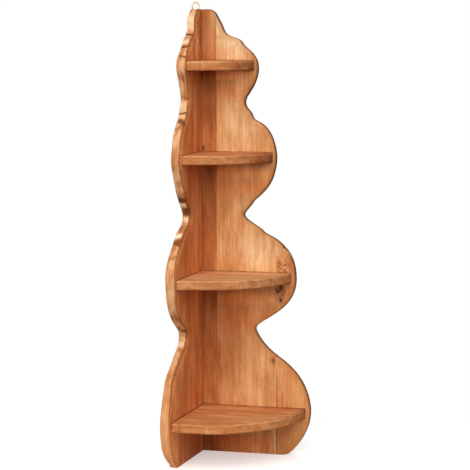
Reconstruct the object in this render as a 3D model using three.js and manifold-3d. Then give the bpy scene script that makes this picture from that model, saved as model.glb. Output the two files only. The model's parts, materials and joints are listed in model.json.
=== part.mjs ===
import * as THREE from 'three';
import { mergeVertices } from 'three/addons/utils/BufferGeometryUtils.js';
import Module from 'manifold-3d';

// Corner shelf unit: two wavy-edged wooden panels meet at a right angle and carry four rounded shelves.
// Each panel and each deep shelf is glued up from boards, screws through the panels hold the shelves and
// close the corner, and a brass loop plate sits on a small flat at the top of the back corner.
// Millimetres, Z up. The inner corner line of the panels is X = 0, Y = 0 while the pieces are made: the
// right panel runs out along X and the left panel along -Y. The finished unit is then centred.

const wasm = await Module();
wasm.setup();

// Wood
const panelThickness = 32;
const shelfThickness = 29;
const panelEasing = 4;
const shelfEasing = 2.5;
const widestShelfBoard = 215;

// Fits and cuts
const clearance = 0.3;
const overrun = 20;

// Levels from the floor up: rise is the height above the level below, the two reaches are those of the
// shelf along each panel from the inner corner, and margin is how far the panel's edge runs past it.
const foot = { rise: 0, rightReach: 264, leftReach: 270, margin: 0 };
const bottomShelf = { name: 'bottom_shelf', rise: 150, rightReach: 336, leftReach: 334, margin: 12 };
const lowerShelf = { name: 'lower_shelf', rise: 428, rightReach: 289, leftReach: 275, margin: 11 };
const upperShelf = { name: 'upper_shelf', rise: 377, rightReach: 230, leftReach: 213, margin: 6.5 };
const topShelf = { name: 'top_shelf', rise: 286, rightReach: 171, leftReach: 159, margin: 3.5 };
const crest = { rise: 159, rightReach: 21, leftReach: 16, margin: 0 };
const levels = [foot, bottomShelf, lowerShelf, upperShelf, topShelf, crest];
const shelves = [bottomShelf, lowerShelf, upperShelf, topShelf];

// Widths of the boards in each panel, counted from its back edge; the outer boards take what is left.
const rightBoards = { inner: 80, middle: 190 };
const leftBoards = { inner: 90, middle: 165 };
const narrowestBoard = 16;

// Steel wood screws. Those of a shelf stand at shares of its reach, those of the corner at a share of
// each bay's rise.
const woodScrew = {
  length: 60, shank: 4.5, head: 9, headDepth: 3, tip: 8, recess: 5, slot: 1.3, sink: 2.4,
};
const shelfScrewShares = [0.36, 0.68];
const cornerScrewShares = [0.5, 0.5, 0.5, 0.5, 0.3];

// Brass loop plate: ring above the crest, strap with two brass screws on a flat across the back corner
const loop = { outerRadius: 15, holeRadius: 9.5, rise: 9 };
const strap = { width: 13, thickness: 2, length: 46, easing: 0.4 };
const hangerFlat = { width: 14, height: 62 };
const brassScrew = {
  length: 20, shank: 3.2, head: 6.4, headDepth: 2, tip: 5, recess: 3.6, slot: 1, sink: 1.2,
};
const brassScrewInsets = [17, 39];

// Smoothness of the curves
const edgeSteps = 2;
const shelfSteps = 4;
const ringSteps = 24;
const screwSides = 14;
const easingSteps = 2;

// The panels' free edges, bay by bay from the floor to the crest. Each pair is a share of the bay's rise
// and a share of the reach there, which goes evenly from the lower level's to the upper level's.
const rightEdgeShares = [
  [[0.03, 1.05], [0.12, 1.075], [0.3, 1.095], [0.5, 1.09], [0.7, 1.065], [0.85, 1.035]],
  [[0.1, 0.989], [0.2, 0.944], [0.28, 0.876], [0.34, 0.795], [0.4, 0.692], [0.47, 0.602], [0.535, 0.548],
    [0.578, 0.528], [0.605, 0.553], [0.65, 0.648], [0.7, 0.757], [0.76, 0.86], [0.83, 0.938], [0.91, 0.984]],
  [[0.08, 0.997], [0.165, 0.966], [0.23, 0.906], [0.27, 0.85], [0.3, 0.785], [0.327, 0.715],
    [0.355, 0.682], [0.42, 0.552], [0.45, 0.507], [0.475, 0.492], [0.5, 0.512], [0.56, 0.594],
    [0.595, 0.632], [0.63, 0.698], [0.69, 0.795], [0.76, 0.878], [0.83, 0.934], [0.92, 0.983]],
  [[0.1, 1], [0.18, 0.985], [0.27, 0.93], [0.32, 0.86], [0.36, 0.768], [0.4, 0.755], [0.44, 0.735],
    [0.48, 0.69], [0.54, 0.672], [0.6, 0.71], [0.69, 0.818], [0.78, 0.91], [0.87, 0.974], [0.94, 0.998]],
  [[0.1, 1.035], [0.17, 1.045], [0.27, 1.025], [0.33, 1.035], [0.385, 1.06], [0.43, 0.985],
    [0.48, 0.835], [0.54, 0.782], [0.68, 0.88], [0.8, 0.99], [0.88, 1.13], [0.93, 1.24], [0.975, 1.22]],
];
const leftEdgeShares = [
  [[0.04, 1.02], [0.12, 1.045], [0.19, 1.06], [0.34, 1.085], [0.5, 1.083], [0.74, 1.055], [0.87, 1.03]],
  [[0.08, 0.985], [0.16, 0.955], [0.24, 0.918], [0.28, 0.898], [0.32, 0.85], [0.38, 0.74], [0.45, 0.608],
    [0.5, 0.525], [0.55, 0.487], [0.6, 0.52], [0.65, 0.63], [0.71, 0.76], [0.78, 0.862], [0.85, 0.93],
    [0.93, 0.972]],
  [[0.08, 1.002], [0.16, 0.948], [0.21, 0.885], [0.26, 0.81], [0.34, 0.69], [0.375, 0.61], [0.405, 0.51],
    [0.435, 0.44], [0.47, 0.43], [0.52, 0.462], [0.57, 0.54], [0.61, 0.61], [0.68, 0.71], [0.76, 0.806],
    [0.86, 0.92], [0.93, 0.993]],
  [[0.1, 0.993], [0.2, 0.965], [0.27, 0.915], [0.33, 0.835], [0.39, 0.755], [0.47, 0.7], [0.57, 0.645],
    [0.65, 0.695], [0.74, 0.778], [0.83, 0.885], [0.88, 0.953], [0.94, 1]],
  [[0.09, 0.995], [0.17, 0.985], [0.24, 0.935], [0.32, 0.933], [0.4, 0.908], [0.47, 0.79], [0.55, 0.735],
    [0.62, 0.71], [0.7, 0.85], [0.78, 1.09], [0.85, 1.2], [0.92, 1.02]],
];

// The shelves' front edges, from the left panel round to the right one. Each pair is a share of the
// shelf's reach along the right panel and a share of its reach along the left panel.
bottomShelf.frontShares = [[0.13, 0.99], [0.35, 0.985], [0.49, 0.94], [0.61, 0.86], [0.74, 0.735],
  [0.85, 0.59], [0.94, 0.38], [0.985, 0.13]];
lowerShelf.frontShares = [[0.12, 0.95], [0.3, 0.91], [0.45, 0.86], [0.61, 0.78], [0.75, 0.62],
  [0.86, 0.48], [0.94, 0.3], [0.985, 0.12]];
upperShelf.frontShares = [[0.12, 0.96], [0.33, 0.91], [0.46, 0.84], [0.62, 0.72], [0.77, 0.56],
  [0.9, 0.36], [0.98, 0.15]];
topShelf.frontShares = [[0.15, 0.985], [0.42, 0.93], [0.62, 0.8], [0.78, 0.63], [0.9, 0.42], [0.98, 0.17]];

// Finishes
const innerBoardWood = { color: 0xa9683a, roughness: 0.5, metalness: 0 };
const middleBoardWood = { color: 0xc98850, roughness: 0.5, metalness: 0 };
const outerBoardWood = { color: 0xc27f49, roughness: 0.5, metalness: 0 };
const shelfWood = { color: 0xbf7a47, roughness: 0.48, metalness: 0 };
const brass = { color: 0xd9b56a, roughness: 0.3, metalness: 1 };
const zincedSteel = { color: 0xb9b5aa, roughness: 0.38, metalness: 1 };

let floorToLevel = 0;
for (const level of levels) {
  floorToLevel += level.rise;
  level.height = floorToLevel;
}

// The two panels. out is the way along the panel from the corner, away is the way through it to the wall.
const rightPanel = {
  name: 'right',
  out: new THREE.Vector3(1, 0, 0),
  away: new THREE.Vector3(0, 1, 0),
  backEdge: -panelThickness,
  shelfReach: (level) => level.rightReach,
  boards: rightBoards,
  edgeShares: rightEdgeShares,
};
const leftPanel = {
  name: 'left',
  out: new THREE.Vector3(0, -1, 0),
  away: new THREE.Vector3(-1, 0, 0),
  backEdge: 0,
  shelfReach: (level) => level.leftReach,
  boards: leftBoards,
  edgeShares: leftEdgeShares,
};
const panels = [rightPanel, leftPanel];
const up = new THREE.Vector3(0, 0, 1);

// The way out of the unit at its back corner, where the loop plate faces.
const backward = rightPanel.away.clone().add(leftPanel.away).normalize();

// A point given by its reach along a panel, its depth behind the panel's inner face and its height.
function pointOn(panel, reach, depth, height) {
  const point = new THREE.Vector3(0, 0, height);
  return point.addScaledVector(panel.out, reach).addScaledVector(panel.away, depth);
}

function edgeReach(panel, level) {
  return panel.shelfReach(level) + level.margin;
}

// Closed geometry becomes a solid that can be cut and joined, and a solid becomes geometry again.
function toSolid(geometry) {
  const bare = geometry.clone();
  bare.deleteAttribute('normal');
  bare.deleteAttribute('uv');
  const merged = mergeVertices(bare);
  return new wasm.Manifold(new wasm.Mesh({
    numProp: 3,
    vertProperties: merged.attributes.position.array,
    triVerts: new Uint32Array(merged.index.array),
  }));
}

function toGeometry(solid) {
  const mesh = solid.getMesh();
  const geometry = new THREE.BufferGeometry();
  geometry.setAttribute('position', new THREE.BufferAttribute(mesh.vertProperties, 3));
  geometry.setIndex(new THREE.BufferAttribute(mesh.triVerts, 1));
  const facets = geometry.toNonIndexed();
  facets.computeVertexNormals();
  return facets;
}

function blockBetween(cornerA, cornerB) {
  const box = new THREE.Box3().setFromPoints([cornerA, cornerB]);
  const size = box.getSize(new THREE.Vector3());
  const centre = box.getCenter(new THREE.Vector3());
  const geometry = new THREE.BoxGeometry(size.x, size.y, size.z);
  geometry.translate(centre.x, centre.y, centre.z);
  return toSolid(geometry);
}

function smoothThrough(points, steps) {
  const curve = new THREE.CatmullRomCurve3(points, false, 'centripetal');
  return curve.getPoints((points.length - 1) * steps);
}

function easedPlate(shape, thickness, easing) {
  const geometry = new THREE.ExtrudeGeometry(shape, {
    depth: thickness - 2 * easing,
    bevelEnabled: true,
    bevelThickness: easing,
    bevelSize: easing,
    bevelOffset: -easing,
    bevelSegments: easingSteps,
    curveSegments: ringSteps,
  });
  geometry.translate(0, 0, easing);
  return geometry;
}

// The free edge of a panel as points of reach and height, from the floor to the crest.
function edgeCurve(panel) {
  const points = [];
  levels.forEach((level, index) => {
    const lowerReach = edgeReach(panel, level);
    points.push(new THREE.Vector3(lowerReach, level.height, 0));
    const next = levels[index + 1];
    if (!next) {
      return;
    }
    const gain = edgeReach(panel, next) - lowerReach;
    for (const [riseShare, reachShare] of panel.edgeShares[index]) {
      const reach = reachShare * (lowerReach + gain * riseShare);
      points.push(new THREE.Vector3(reach, level.height + next.rise * riseShare, 0));
    }
  });
  return smoothThrough(points, edgeSteps);
}

// A whole panel, running past its back edge and below the floor, where its boards are cut square. The
// plate is drawn lying flat and is then stood up along the panel, with its depth through the panel.
function panelSolid(panel) {
  const edge = edgeCurve(panel);
  const back = panel.backEdge - overrun;
  const shape = new THREE.Shape();
  shape.moveTo(back, -overrun);
  shape.lineTo(edge[0].x, -overrun);
  edge.forEach((point) => shape.lineTo(point.x, point.y));
  shape.lineTo(back, crest.height);
  const geometry = easedPlate(shape, panelThickness, panelEasing);
  const through = new THREE.Vector3().crossVectors(panel.out, up);
  const seatDepth = through.dot(panel.away) < 0 ? panelThickness : 0;
  const stood = new THREE.Matrix4().makeBasis(panel.out, up, through);
  geometry.applyMatrix4(stood.setPosition(pointOn(panel, 0, seatDepth, 0)));
  return toSolid(geometry);
}

// One board of a panel: what lies between two reaches and two heights.
function boardSolid(panel, whole, fromReach, toReach, fromHeight, toHeight) {
  const low = pointOn(panel, fromReach, -overrun, fromHeight);
  const high = pointOn(panel, toReach, panelThickness + overrun, toHeight);
  return whole.intersect(blockBetween(low, high));
}

// The middle of the loop plate's flat in plan: half the flat's width in from the outer back corner.
function hangerFlatCentre() {
  const leg = hangerFlat.width / (2 * Math.SQRT2);
  return new THREE.Vector3(-panelThickness + leg, panelThickness - leg, 0);
}

// What is planed away across the outer back corner, down from the crest, to make the flat.
function hangerFlatCut() {
  const across = hangerFlat.width + 2 * overrun;
  const geometry = new THREE.BoxGeometry(across, overrun, hangerFlat.height + overrun);
  geometry.translate(0, overrun / 2, 0);
  geometry.rotateZ(Math.PI / 4);
  const centre = hangerFlatCentre();
  geometry.translate(centre.x, centre.y, crest.height + (overrun - hangerFlat.height) / 2);
  return toSolid(geometry);
}

// Turned profile of a countersunk screw: the head's face is at height 0 and the tip points down.
// grown is how much wider and deeper the screw's hole is.
function screwProfile(screw, grown, above) {
  const headRadius = screw.head / 2 + grown;
  const shankRadius = screw.shank / 2 + grown;
  return [
    new THREE.Vector2(0, -screw.length - grown),
    new THREE.Vector2(shankRadius, -screw.length + screw.tip),
    new THREE.Vector2(shankRadius, -screw.headDepth),
    new THREE.Vector2(headRadius, -grown),
    new THREE.Vector2(headRadius, above),
    new THREE.Vector2(0, above),
  ];
}

function screwBody(screw) {
  const turned = toSolid(new THREE.LatheGeometry(screwProfile(screw, 0, 0).filter(notRepeated), screwSides));
  const bars = [0, Math.PI / 2].map((turn) => {
    const bar = new THREE.BoxGeometry(screw.recess, 2 * screw.sink, screw.slot);
    bar.rotateY(turn);
    return toSolid(bar);
  });
  return turned.subtract(bars[0].add(bars[1]));
}

function notRepeated(point, index, points) {
  return index === 0 || point.distanceTo(points[index - 1]) > 0;
}

function screwHole(screw) {
  return toSolid(new THREE.LatheGeometry(screwProfile(screw, clearance, overrun), screwSides));
}

// Every screw: its name, kind, the middle of its head's face and the way the head faces.
function screwPlaces() {
  const places = [];
  for (const panel of panels) {
    for (const shelf of shelves) {
      const height = shelf.height - shelfThickness / 2;
      shelfScrewShares.forEach((share, index) => places.push({
        name: `${shelf.name}_${panel.name}_screw_${index + 1}`,
        screw: woodScrew,
        at: pointOn(panel, panel.shelfReach(shelf) * share, panelThickness, height),
        facing: panel.away,
      }));
    }
  }
  cornerScrewShares.forEach((share, index) => {
    const height = levels[index].height + levels[index + 1].rise * share;
    places.push({
      name: `corner_screw_${index + 1}`,
      screw: woodScrew,
      at: pointOn(rightPanel, -panelThickness / 2, panelThickness, height),
      facing: rightPanel.away,
    });
  });
  const plateFace = hangerFlatCentre().addScaledVector(backward, clearance + strap.thickness);
  brassScrewInsets.forEach((inset, index) => places.push({
    name: `loop_plate_screw_${index + 1}`,
    screw: brassScrew,
    at: plateFace.clone().setZ(crest.height - inset),
    facing: backward,
  }));
  return places;
}

function placeScrew(object, place) {
  object.quaternion.setFromUnitVectors(new THREE.Vector3(0, 1, 0), place.facing);
  object.position.copy(place.at);
  object.updateMatrix();
  return object;
}

function screwHoles(places) {
  return places.map((place) => {
    const seat = placeScrew(new THREE.Object3D(), place);
    return screwHole(place.screw).transform(seat.matrix.elements);
  }).reduce((all, hole) => all.add(hole));
}

// Loop plate in its own plane, with the ring's centre at 0 and the strap hanging below it.
function loopPlateShape() {
  const halfStrap = strap.width / 2;
  const strapEnd = -(loop.rise + strap.length);
  const neck = -Math.sqrt(loop.outerRadius ** 2 - halfStrap ** 2);
  const neckAngle = Math.atan2(neck, halfStrap);
  const shape = new THREE.Shape();
  shape.moveTo(halfStrap, strapEnd);
  shape.lineTo(halfStrap, neck);
  shape.absarc(0, 0, loop.outerRadius, neckAngle, Math.PI - neckAngle, false);
  shape.lineTo(-halfStrap, strapEnd);
  shape.absarc(0, strapEnd, halfStrap, Math.PI, 2 * Math.PI, false);
  const hole = new THREE.Path();
  hole.absarc(0, 0, loop.holeRadius, 0, 2 * Math.PI, true);
  shape.holes.push(hole);
  return shape;
}

function loopPlateSolid(holes) {
  const geometry = easedPlate(loopPlateShape(), strap.thickness, strap.easing);
  const across = new THREE.Vector3().crossVectors(up, backward);
  const stood = new THREE.Matrix4().makeBasis(across, up, backward);
  const seat = hangerFlatCentre().addScaledVector(backward, clearance);
  geometry.applyMatrix4(stood.setPosition(seat.setZ(crest.height + loop.rise)));
  return toSolid(geometry).subtract(holes);
}

// A whole shelf, running past both panels' inner faces, where its boards are cut square.
function shelfSolid(shelf) {
  const front = [[0, 1], ...shelf.frontShares, [1, 0]].map(([rightShare, leftShare]) => (
    new THREE.Vector3(shelf.rightReach * rightShare, -shelf.leftReach * leftShare, 0)
  ));
  const shape = new THREE.Shape();
  shape.moveTo(-overrun, overrun);
  shape.lineTo(-overrun, -shelf.leftReach);
  smoothThrough(front, shelfSteps).forEach((point) => shape.lineTo(point.x, point.y));
  shape.lineTo(shelf.rightReach, overrun);
  const geometry = easedPlate(shape, shelfThickness, shelfEasing);
  geometry.translate(0, 0, shelf.height - shelfThickness);
  return toSolid(geometry);
}

function shelfBoardPart(index, count) {
  if (count === 1) {
    return 'board';
  }
  if (index === 0) {
    return 'rear_board';
  }
  return index === count - 1 ? 'front_board' : `middle_board_${index}`;
}

// The boards of a shelf lie side by side along the right panel, the rear one against it.
function shelfBoards(shelf, holes) {
  const whole = shelfSolid(shelf).subtract(holes);
  const count = Math.ceil(shelf.leftReach / widestShelfBoard);
  const width = shelf.leftReach / count;
  return Array.from({ length: count }, (unused, index) => {
    const far = index === count - 1 ? shelf.leftReach + overrun : width * (index + 1);
    const low = new THREE.Vector3(0, -far, shelf.height - shelfThickness - overrun);
    const high = new THREE.Vector3(shelf.rightReach + overrun, -width * index, shelf.height + overrun);
    const name = `${shelf.name}_${shelfBoardPart(index, count)}`;
    return pieceOf(name, whole.intersect(blockBetween(low, high)), shelfWood);
  });
}

function pieceOf(name, solid, finish) {
  const mesh = new THREE.Mesh(toGeometry(solid), new THREE.MeshStandardMaterial(finish));
  mesh.name = name;
  return mesh;
}

// The boards of a panel: one next to the corner, one beyond it, and one for each bulge that reaches past
// the second joint, bounded by the waists below and above the bulge.
function panelBoards(panel, holes) {
  const whole = panelSolid(panel).subtract(holes);
  const firstJoint = panel.backEdge + panel.boards.inner;
  const secondJoint = firstJoint + panel.boards.middle;
  const board = (part, from, to, low, high, finish) => (
    pieceOf(`${panel.name}_panel_${part}`, boardSolid(panel, whole, from, to, low, high), finish)
  );
  const top = crest.height + overrun;
  const pieces = [
    board('inner_board', panel.backEdge, firstJoint, 0, top, innerBoardWood),
    board('middle_board', firstJoint, secondJoint, 0, top, middleBoardWood),
  ];
  shelves.forEach((shelf, index) => {
    const reach = edgeReach(panel, shelf);
    if (reach < secondJoint + narrowestBoard) {
      return;
    }
    const low = index === 0 ? 0 : (shelves[index - 1].height + shelf.height) / 2;
    const high = shelf.height + levels[index + 2].rise / 2;
    pieces.push(board(`outer_board_${index + 1}`, secondJoint, reach + overrun, low, high, outerBoardWood));
  });
  return pieces;
}

function screwMesh(place) {
  const finish = place.screw === brassScrew ? brass : zincedSteel;
  return placeScrew(pieceOf(place.name, screwBody(place.screw), finish), place);
}

const places = screwPlaces();
const holes = screwHoles(places);
const unit = new THREE.Group();
unit.add(...panelBoards(rightPanel, holes.add(hangerFlatCut())));
unit.add(...panelBoards(leftPanel, holes));
shelves.forEach((shelf) => unit.add(...shelfBoards(shelf, holes)));
unit.add(pieceOf('loop_plate', loopPlateSolid(holes), brass));
unit.add(...places.map(screwMesh));

// The origin is on the floor, under the middle of the unit's plan.
const extent = new THREE.Box3().setFromObject(unit);
const centre = extent.getCenter(new THREE.Vector3());
unit.position.set(-centre.x, -centre.y, 0);

export default unit;
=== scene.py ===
"""Corner shelf unit: the finished look of its boards, shelves, screws and loop plate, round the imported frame.

Metres, Z up. Both panels start from the inner corner line: the right one runs out along X and the left one
along -Y. A board is described by its reach from that line, its depth behind the face and its row, which is
the height on a panel and the place along the right panel on a shelf.
"""

import json
import logging
import math
from collections.abc import Callable, Sequence
from dataclasses import dataclass, field
from enum import Enum
from typing import Optional

import bmesh
import bpy
import numpy as np
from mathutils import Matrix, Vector


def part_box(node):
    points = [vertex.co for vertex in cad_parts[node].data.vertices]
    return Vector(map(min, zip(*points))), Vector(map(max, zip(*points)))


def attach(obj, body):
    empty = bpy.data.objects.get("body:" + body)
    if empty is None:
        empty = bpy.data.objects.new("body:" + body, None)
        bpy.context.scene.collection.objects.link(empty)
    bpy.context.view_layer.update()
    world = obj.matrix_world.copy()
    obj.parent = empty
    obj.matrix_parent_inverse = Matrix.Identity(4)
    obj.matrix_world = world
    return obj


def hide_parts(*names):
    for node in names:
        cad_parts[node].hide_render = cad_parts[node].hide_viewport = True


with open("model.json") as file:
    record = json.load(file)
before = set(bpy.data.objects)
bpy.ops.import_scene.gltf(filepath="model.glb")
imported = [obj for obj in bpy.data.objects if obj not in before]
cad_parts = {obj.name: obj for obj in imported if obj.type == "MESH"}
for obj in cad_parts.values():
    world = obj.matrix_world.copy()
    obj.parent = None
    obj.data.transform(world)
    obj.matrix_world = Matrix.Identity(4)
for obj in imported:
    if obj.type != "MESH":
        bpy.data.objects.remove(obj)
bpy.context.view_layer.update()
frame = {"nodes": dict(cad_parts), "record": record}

LOG = logging.getLogger("corner_shelf_unit")
BODY = "root"
MILLIMETRE = 0.001
CREASE = math.radians(35)
Socket = bpy.types.NodeSocket
Colour = tuple[float, float, float]
Wobble = Callable[[np.ndarray, np.ndarray], np.ndarray]


# Surfaces on grids


@dataclass(frozen=True)
class Axes:
    """Where a plate lies: the origin of its reach, depth and rows, and the ways that they run."""

    origin: tuple[float, float, float]
    reach: tuple[float, float, float]
    depth: tuple[float, float, float]
    row: tuple[float, float, float]

    def place(self, reach: np.ndarray, depth: np.ndarray, row: np.ndarray) -> np.ndarray:
        """Points in the frame: the origin plus each coordinate times its way.

        Args:
            reach: Distances along the reach.
            depth: Distances behind the face.
            row: Places along the rows.

        Returns:
            An array with the three coordinates last.
        """
        ways = np.array([self.reach, self.depth, self.row])
        return np.array(self.origin) + np.stack([reach, depth, row], axis=-1) @ ways

    def read(self, points: np.ndarray) -> tuple[np.ndarray, np.ndarray, np.ndarray]:
        """The reach, depth and row of points given in the frame."""
        ways = np.array([self.reach, self.depth, self.row])
        local = (points - np.array(self.origin)) @ ways.T
        return local[:, 0], local[:, 1], local[:, 2]

    def turns_over(self) -> bool:
        """Whether reach, depth and row make a left-handed set, so that faces have to be flipped."""
        return bool(np.linalg.det(np.array([self.reach, self.depth, self.row])) < 0)


WORLD = Axes((0, 0, 0), (1, 0, 0), (0, 1, 0), (0, 0, 1))


def mesh_from(name: str, points: np.ndarray, faces: np.ndarray) -> bpy.types.Object:
    """An object in the scene with the mesh that the arrays describe.

    Args:
        name: The object's name.
        points: Vertex positions, one per row.
        faces: Vertex numbers of each four-sided face; a repeated number makes it a triangle.

    Returns:
        The new object, at the origin.
    """
    mesh = bpy.data.meshes.new(name)
    mesh.from_pydata(points.tolist(), [], faces.tolist())
    piece = bpy.data.objects.new(name, mesh)
    bpy.context.scene.collection.objects.link(piece)
    mesh.shade_smooth()
    mesh.set_sharp_from_angle(angle=CREASE)
    return piece


def vertex_places(mesh: bpy.types.Mesh) -> np.ndarray:
    """The vertices of a mesh, one per row."""
    points = np.empty(len(mesh.vertices) * 3, np.float32)
    mesh.vertices.foreach_get("co", points)
    return points.reshape(-1, 3).astype(float)


def node_points(node: str) -> np.ndarray:
    """The vertices of a CAD node, one per row."""
    return vertex_places(frame["nodes"][node].data)


def block_faces(columns: int, layers: int, rows: int, flipped: bool) -> np.ndarray:
    """The six sides of a block of columns by layers by rows points, as four-sided faces facing outwards.

    Point (i, j, k) has the number (i * layers + j) * rows + k.

    Args:
        columns: Points along the reach.
        layers: Points through the thickness.
        rows: Points along the rows.
        flipped: Turns every face round, for a left-handed set of axes.

    Returns:
        An array of faces with four point numbers each.
    """
    number = np.arange(columns * layers * rows).reshape(columns, layers, rows)

    def quads(grid: np.ndarray) -> np.ndarray:
        """The faces between the points of one side."""
        return np.stack([grid[:-1, :-1], grid[1:, :-1], grid[1:, 1:], grid[:-1, 1:]], axis=-1).reshape(-1, 4)

    sides = [
        quads(number[0]),
        quads(number[-1])[:, ::-1],
        quads(number[:, 0])[:, ::-1],
        quads(number[:, -1]),
        quads(number[:, :, 0]),
        quads(number[:, :, -1])[:, ::-1],
    ]
    faces = np.concatenate(sides)
    return faces if flipped else faces[:, ::-1]


def unevenness(seed: int, size: float, wavelength: float) -> Wobble:
    """A smooth, slightly irregular surface over two coordinates.

    It is the mean of five sine waves with random directions and phases, whose lengths lie round the given
    one, times the size and the square root of two.

    Args:
        seed: Chooses the waves.
        size: The scale of the heights, which stay within 1.42 times it.
        wavelength: The middle one of the wave lengths.

    Returns:
        The function of the two coordinates.
    """
    rng = np.random.default_rng(seed)
    count = 5
    angle = rng.uniform(0, math.tau, count)
    phase = rng.uniform(0, math.tau, count)
    wave = math.tau / (wavelength * rng.uniform(0.5, 1.8, count))

    def height(first: np.ndarray, second: np.ndarray) -> np.ndarray:
        """The height at two coordinates."""
        along = np.multiply.outer(first, wave * np.cos(angle))
        along = along + np.multiply.outer(second, wave * np.sin(angle))
        return size * np.sin(along + phase).mean(axis=-1) * math.sqrt(2)

    return height


def smoothstep(value: np.ndarray, low: float, high: float) -> np.ndarray:
    """0 below low, 1 above high, and a smooth S curve between them."""
    share = np.clip((value - low) / (high - low), 0, 1)
    return share * share * (3 - 2 * share)


@dataclass
class Outline:
    """The free edge of a plate: how far it reaches at each row.

    Fields:
        rows: Places along the rows, evenly spaced.
        reach: How far the plate reaches there.
    """

    rows: np.ndarray
    reach: np.ndarray

    STEP = 0.5 * MILLIMETRE
    SMOOTHING = 2.5 * MILLIMETRE

    @classmethod
    def from_frame(cls, nodes: list[str], axes: Axes, easing: float, thickness: float) -> "Outline":
        """Reads the outline off the frame's nodes and smooths it along its own length.

        The outline's points are those that lie just where the eased edge of the CAD plate ends. They are
        joined by straight lines, points are taken evenly along them, and each coordinate is averaged over
        its neighbours with a bell-shaped weight, with the ends held by reflection.

        Args:
            nodes: The CAD nodes that the plate consists of.
            axes: The plate's axes.
            easing: The rounding of the CAD plate's edges.
            thickness: The plate's thickness.

        Returns:
            The outline, with rows evenly spaced.
        """
        reach, depth, row = axes.read(np.concatenate([node_points(node) for node in nodes]))
        tolerance = 0.05 * MILLIMETRE
        on_edge = (np.abs(depth - easing) < tolerance) | (np.abs(depth - thickness + easing) < tolerance)
        kept = on_edge & (reach > 4 * easing if axes.row[2] else reach > -tolerance) & (row > -tolerance)
        order = np.argsort(row[kept], kind="stable")
        row, reach = row[kept][order], reach[kept][order]
        length = np.concatenate([[0], np.cumsum(np.hypot(np.diff(row), np.diff(reach)))])
        even = np.arange(0, length[-1], cls.STEP)
        row, reach = (cls._averaged(np.interp(even, length, values)) for values in (row, reach))
        row = np.maximum.accumulate(row)
        rows = np.arange(row[0], row[-1], cls.STEP)
        return cls(rows, np.interp(rows, row, reach))

    @classmethod
    def _averaged(cls, values: np.ndarray) -> np.ndarray:
        """The values averaged with a bell-shaped weight, reflected through both ends, which stay put."""
        spread = cls.SMOOTHING / cls.STEP
        half = int(3 * spread)
        weight = np.exp(-0.5 * (np.arange(-half, half + 1) / spread) ** 2)
        before = 2 * values[0] - values[half:0:-1]
        after = 2 * values[-1] - values[-2:-half - 2:-1]
        return np.convolve(np.concatenate([before, values, after]), weight / weight.sum(), mode="valid")

    def at(self, rows: np.ndarray) -> np.ndarray:
        """The reach at any rows."""
        return np.interp(rows, self.rows, self.reach)

    def even_rows(self, spacing: float) -> np.ndarray:
        """Rows whose points lie evenly along the outline itself, so that flat stretches are as fine as steep
        ones."""
        length = np.concatenate([[0], np.cumsum(np.hypot(np.diff(self.rows), np.diff(self.reach)))])
        count = int(length[-1] / spacing)
        return np.interp(np.linspace(0, length[-1], count), length, self.rows)

    def inset(self, amounts: np.ndarray, beyond: Optional[float] = None) -> np.ndarray:
        """The outline moved inwards by amounts that vary along the rows.

        A disc of that radius has to fit inside the plate, so the inset reach at a row is the least of the
        reach at each row within the radius minus the disc's half height there, which is the square root of
        the radius squared minus the distance squared.

        Args:
            amounts: The radius at each row.
            beyond: The reach past the last row; where it is None, the last reach goes on.

        Returns:
            The reach of the inset outline at each row.
        """
        half = int(np.ceil(amounts.max() / self.STEP)) + 1
        ends = (self.reach[0], self.reach[-1] if beyond is None else beyond)
        wide = np.pad(self.reach, half, mode="constant", constant_values=ends)
        windows = np.lib.stride_tricks.sliding_window_view(wide, 2 * half + 1)
        distance = np.arange(-half, half + 1) * self.STEP
        left = amounts[:, None] ** 2 - distance[None, :] ** 2
        fitting = np.where(left >= 0, windows - np.sqrt(np.maximum(left, 0)), np.inf)
        return fitting.min(axis=1)

    def rim(self, reach: np.ndarray, rows: np.ndarray) -> np.ndarray:
        """How far points lie from the outline: the reach left over, times the cosine of the slope there, or
        the distance to the last row where that is less."""
        slope = np.gradient(self.reach, self.STEP)
        steepness = np.interp(rows, self.rows, 1 / np.sqrt(1 + slope ** 2))
        return np.minimum(np.maximum(self.at(rows) - reach, 0) * steepness,
                          np.maximum(self.rows[-1] - rows, 0))


@dataclass
class EdgeShape:
    """The section of a free edge: two rounded arrises with a flat band between them.

    Fields:
        near: Radius of the arris at the face, at each of the outline's rows.
        far: Radius of the arris at the back, at each of the outline's rows.
        thickness: The plate's thickness.
        arris_steps: Faces round each arris.
        band_steps: Faces across the band.
    """

    near: np.ndarray
    far: np.ndarray
    thickness: float
    arris_steps: int = 6
    band_steps: int = 4

    def layers(self) -> tuple[np.ndarray, np.ndarray]:
        """How deep behind the face, and how far in from the outline, each layer of the section lies.

        Round an arris of radius r the depth is r (1 - cos a) and the inset r (1 - sin a), with a from 0 to
        a quarter turn. Across the band the depth goes evenly and the inset is 0.

        Returns:
            Depths and insets, each as an array of layers by rows.
        """
        angle = np.linspace(0, math.pi / 2, self.arris_steps + 1)[:, None]
        near_depth = self.near * (1 - np.cos(angle))
        near_inset = self.near * (1 - np.sin(angle))
        far_depth = self.thickness - (self.far * (1 - np.cos(angle)))[::-1]
        far_inset = (self.far * (1 - np.sin(angle)))[::-1]
        share = np.linspace(0, 1, self.band_steps + 1)[1:-1, None]
        band_depth = self.near * (1 - share) + (self.thickness - self.far) * share
        depth = np.concatenate([near_depth, band_depth, far_depth])
        inset = np.concatenate([near_inset, np.zeros_like(band_depth), far_inset])
        return depth, inset


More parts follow.
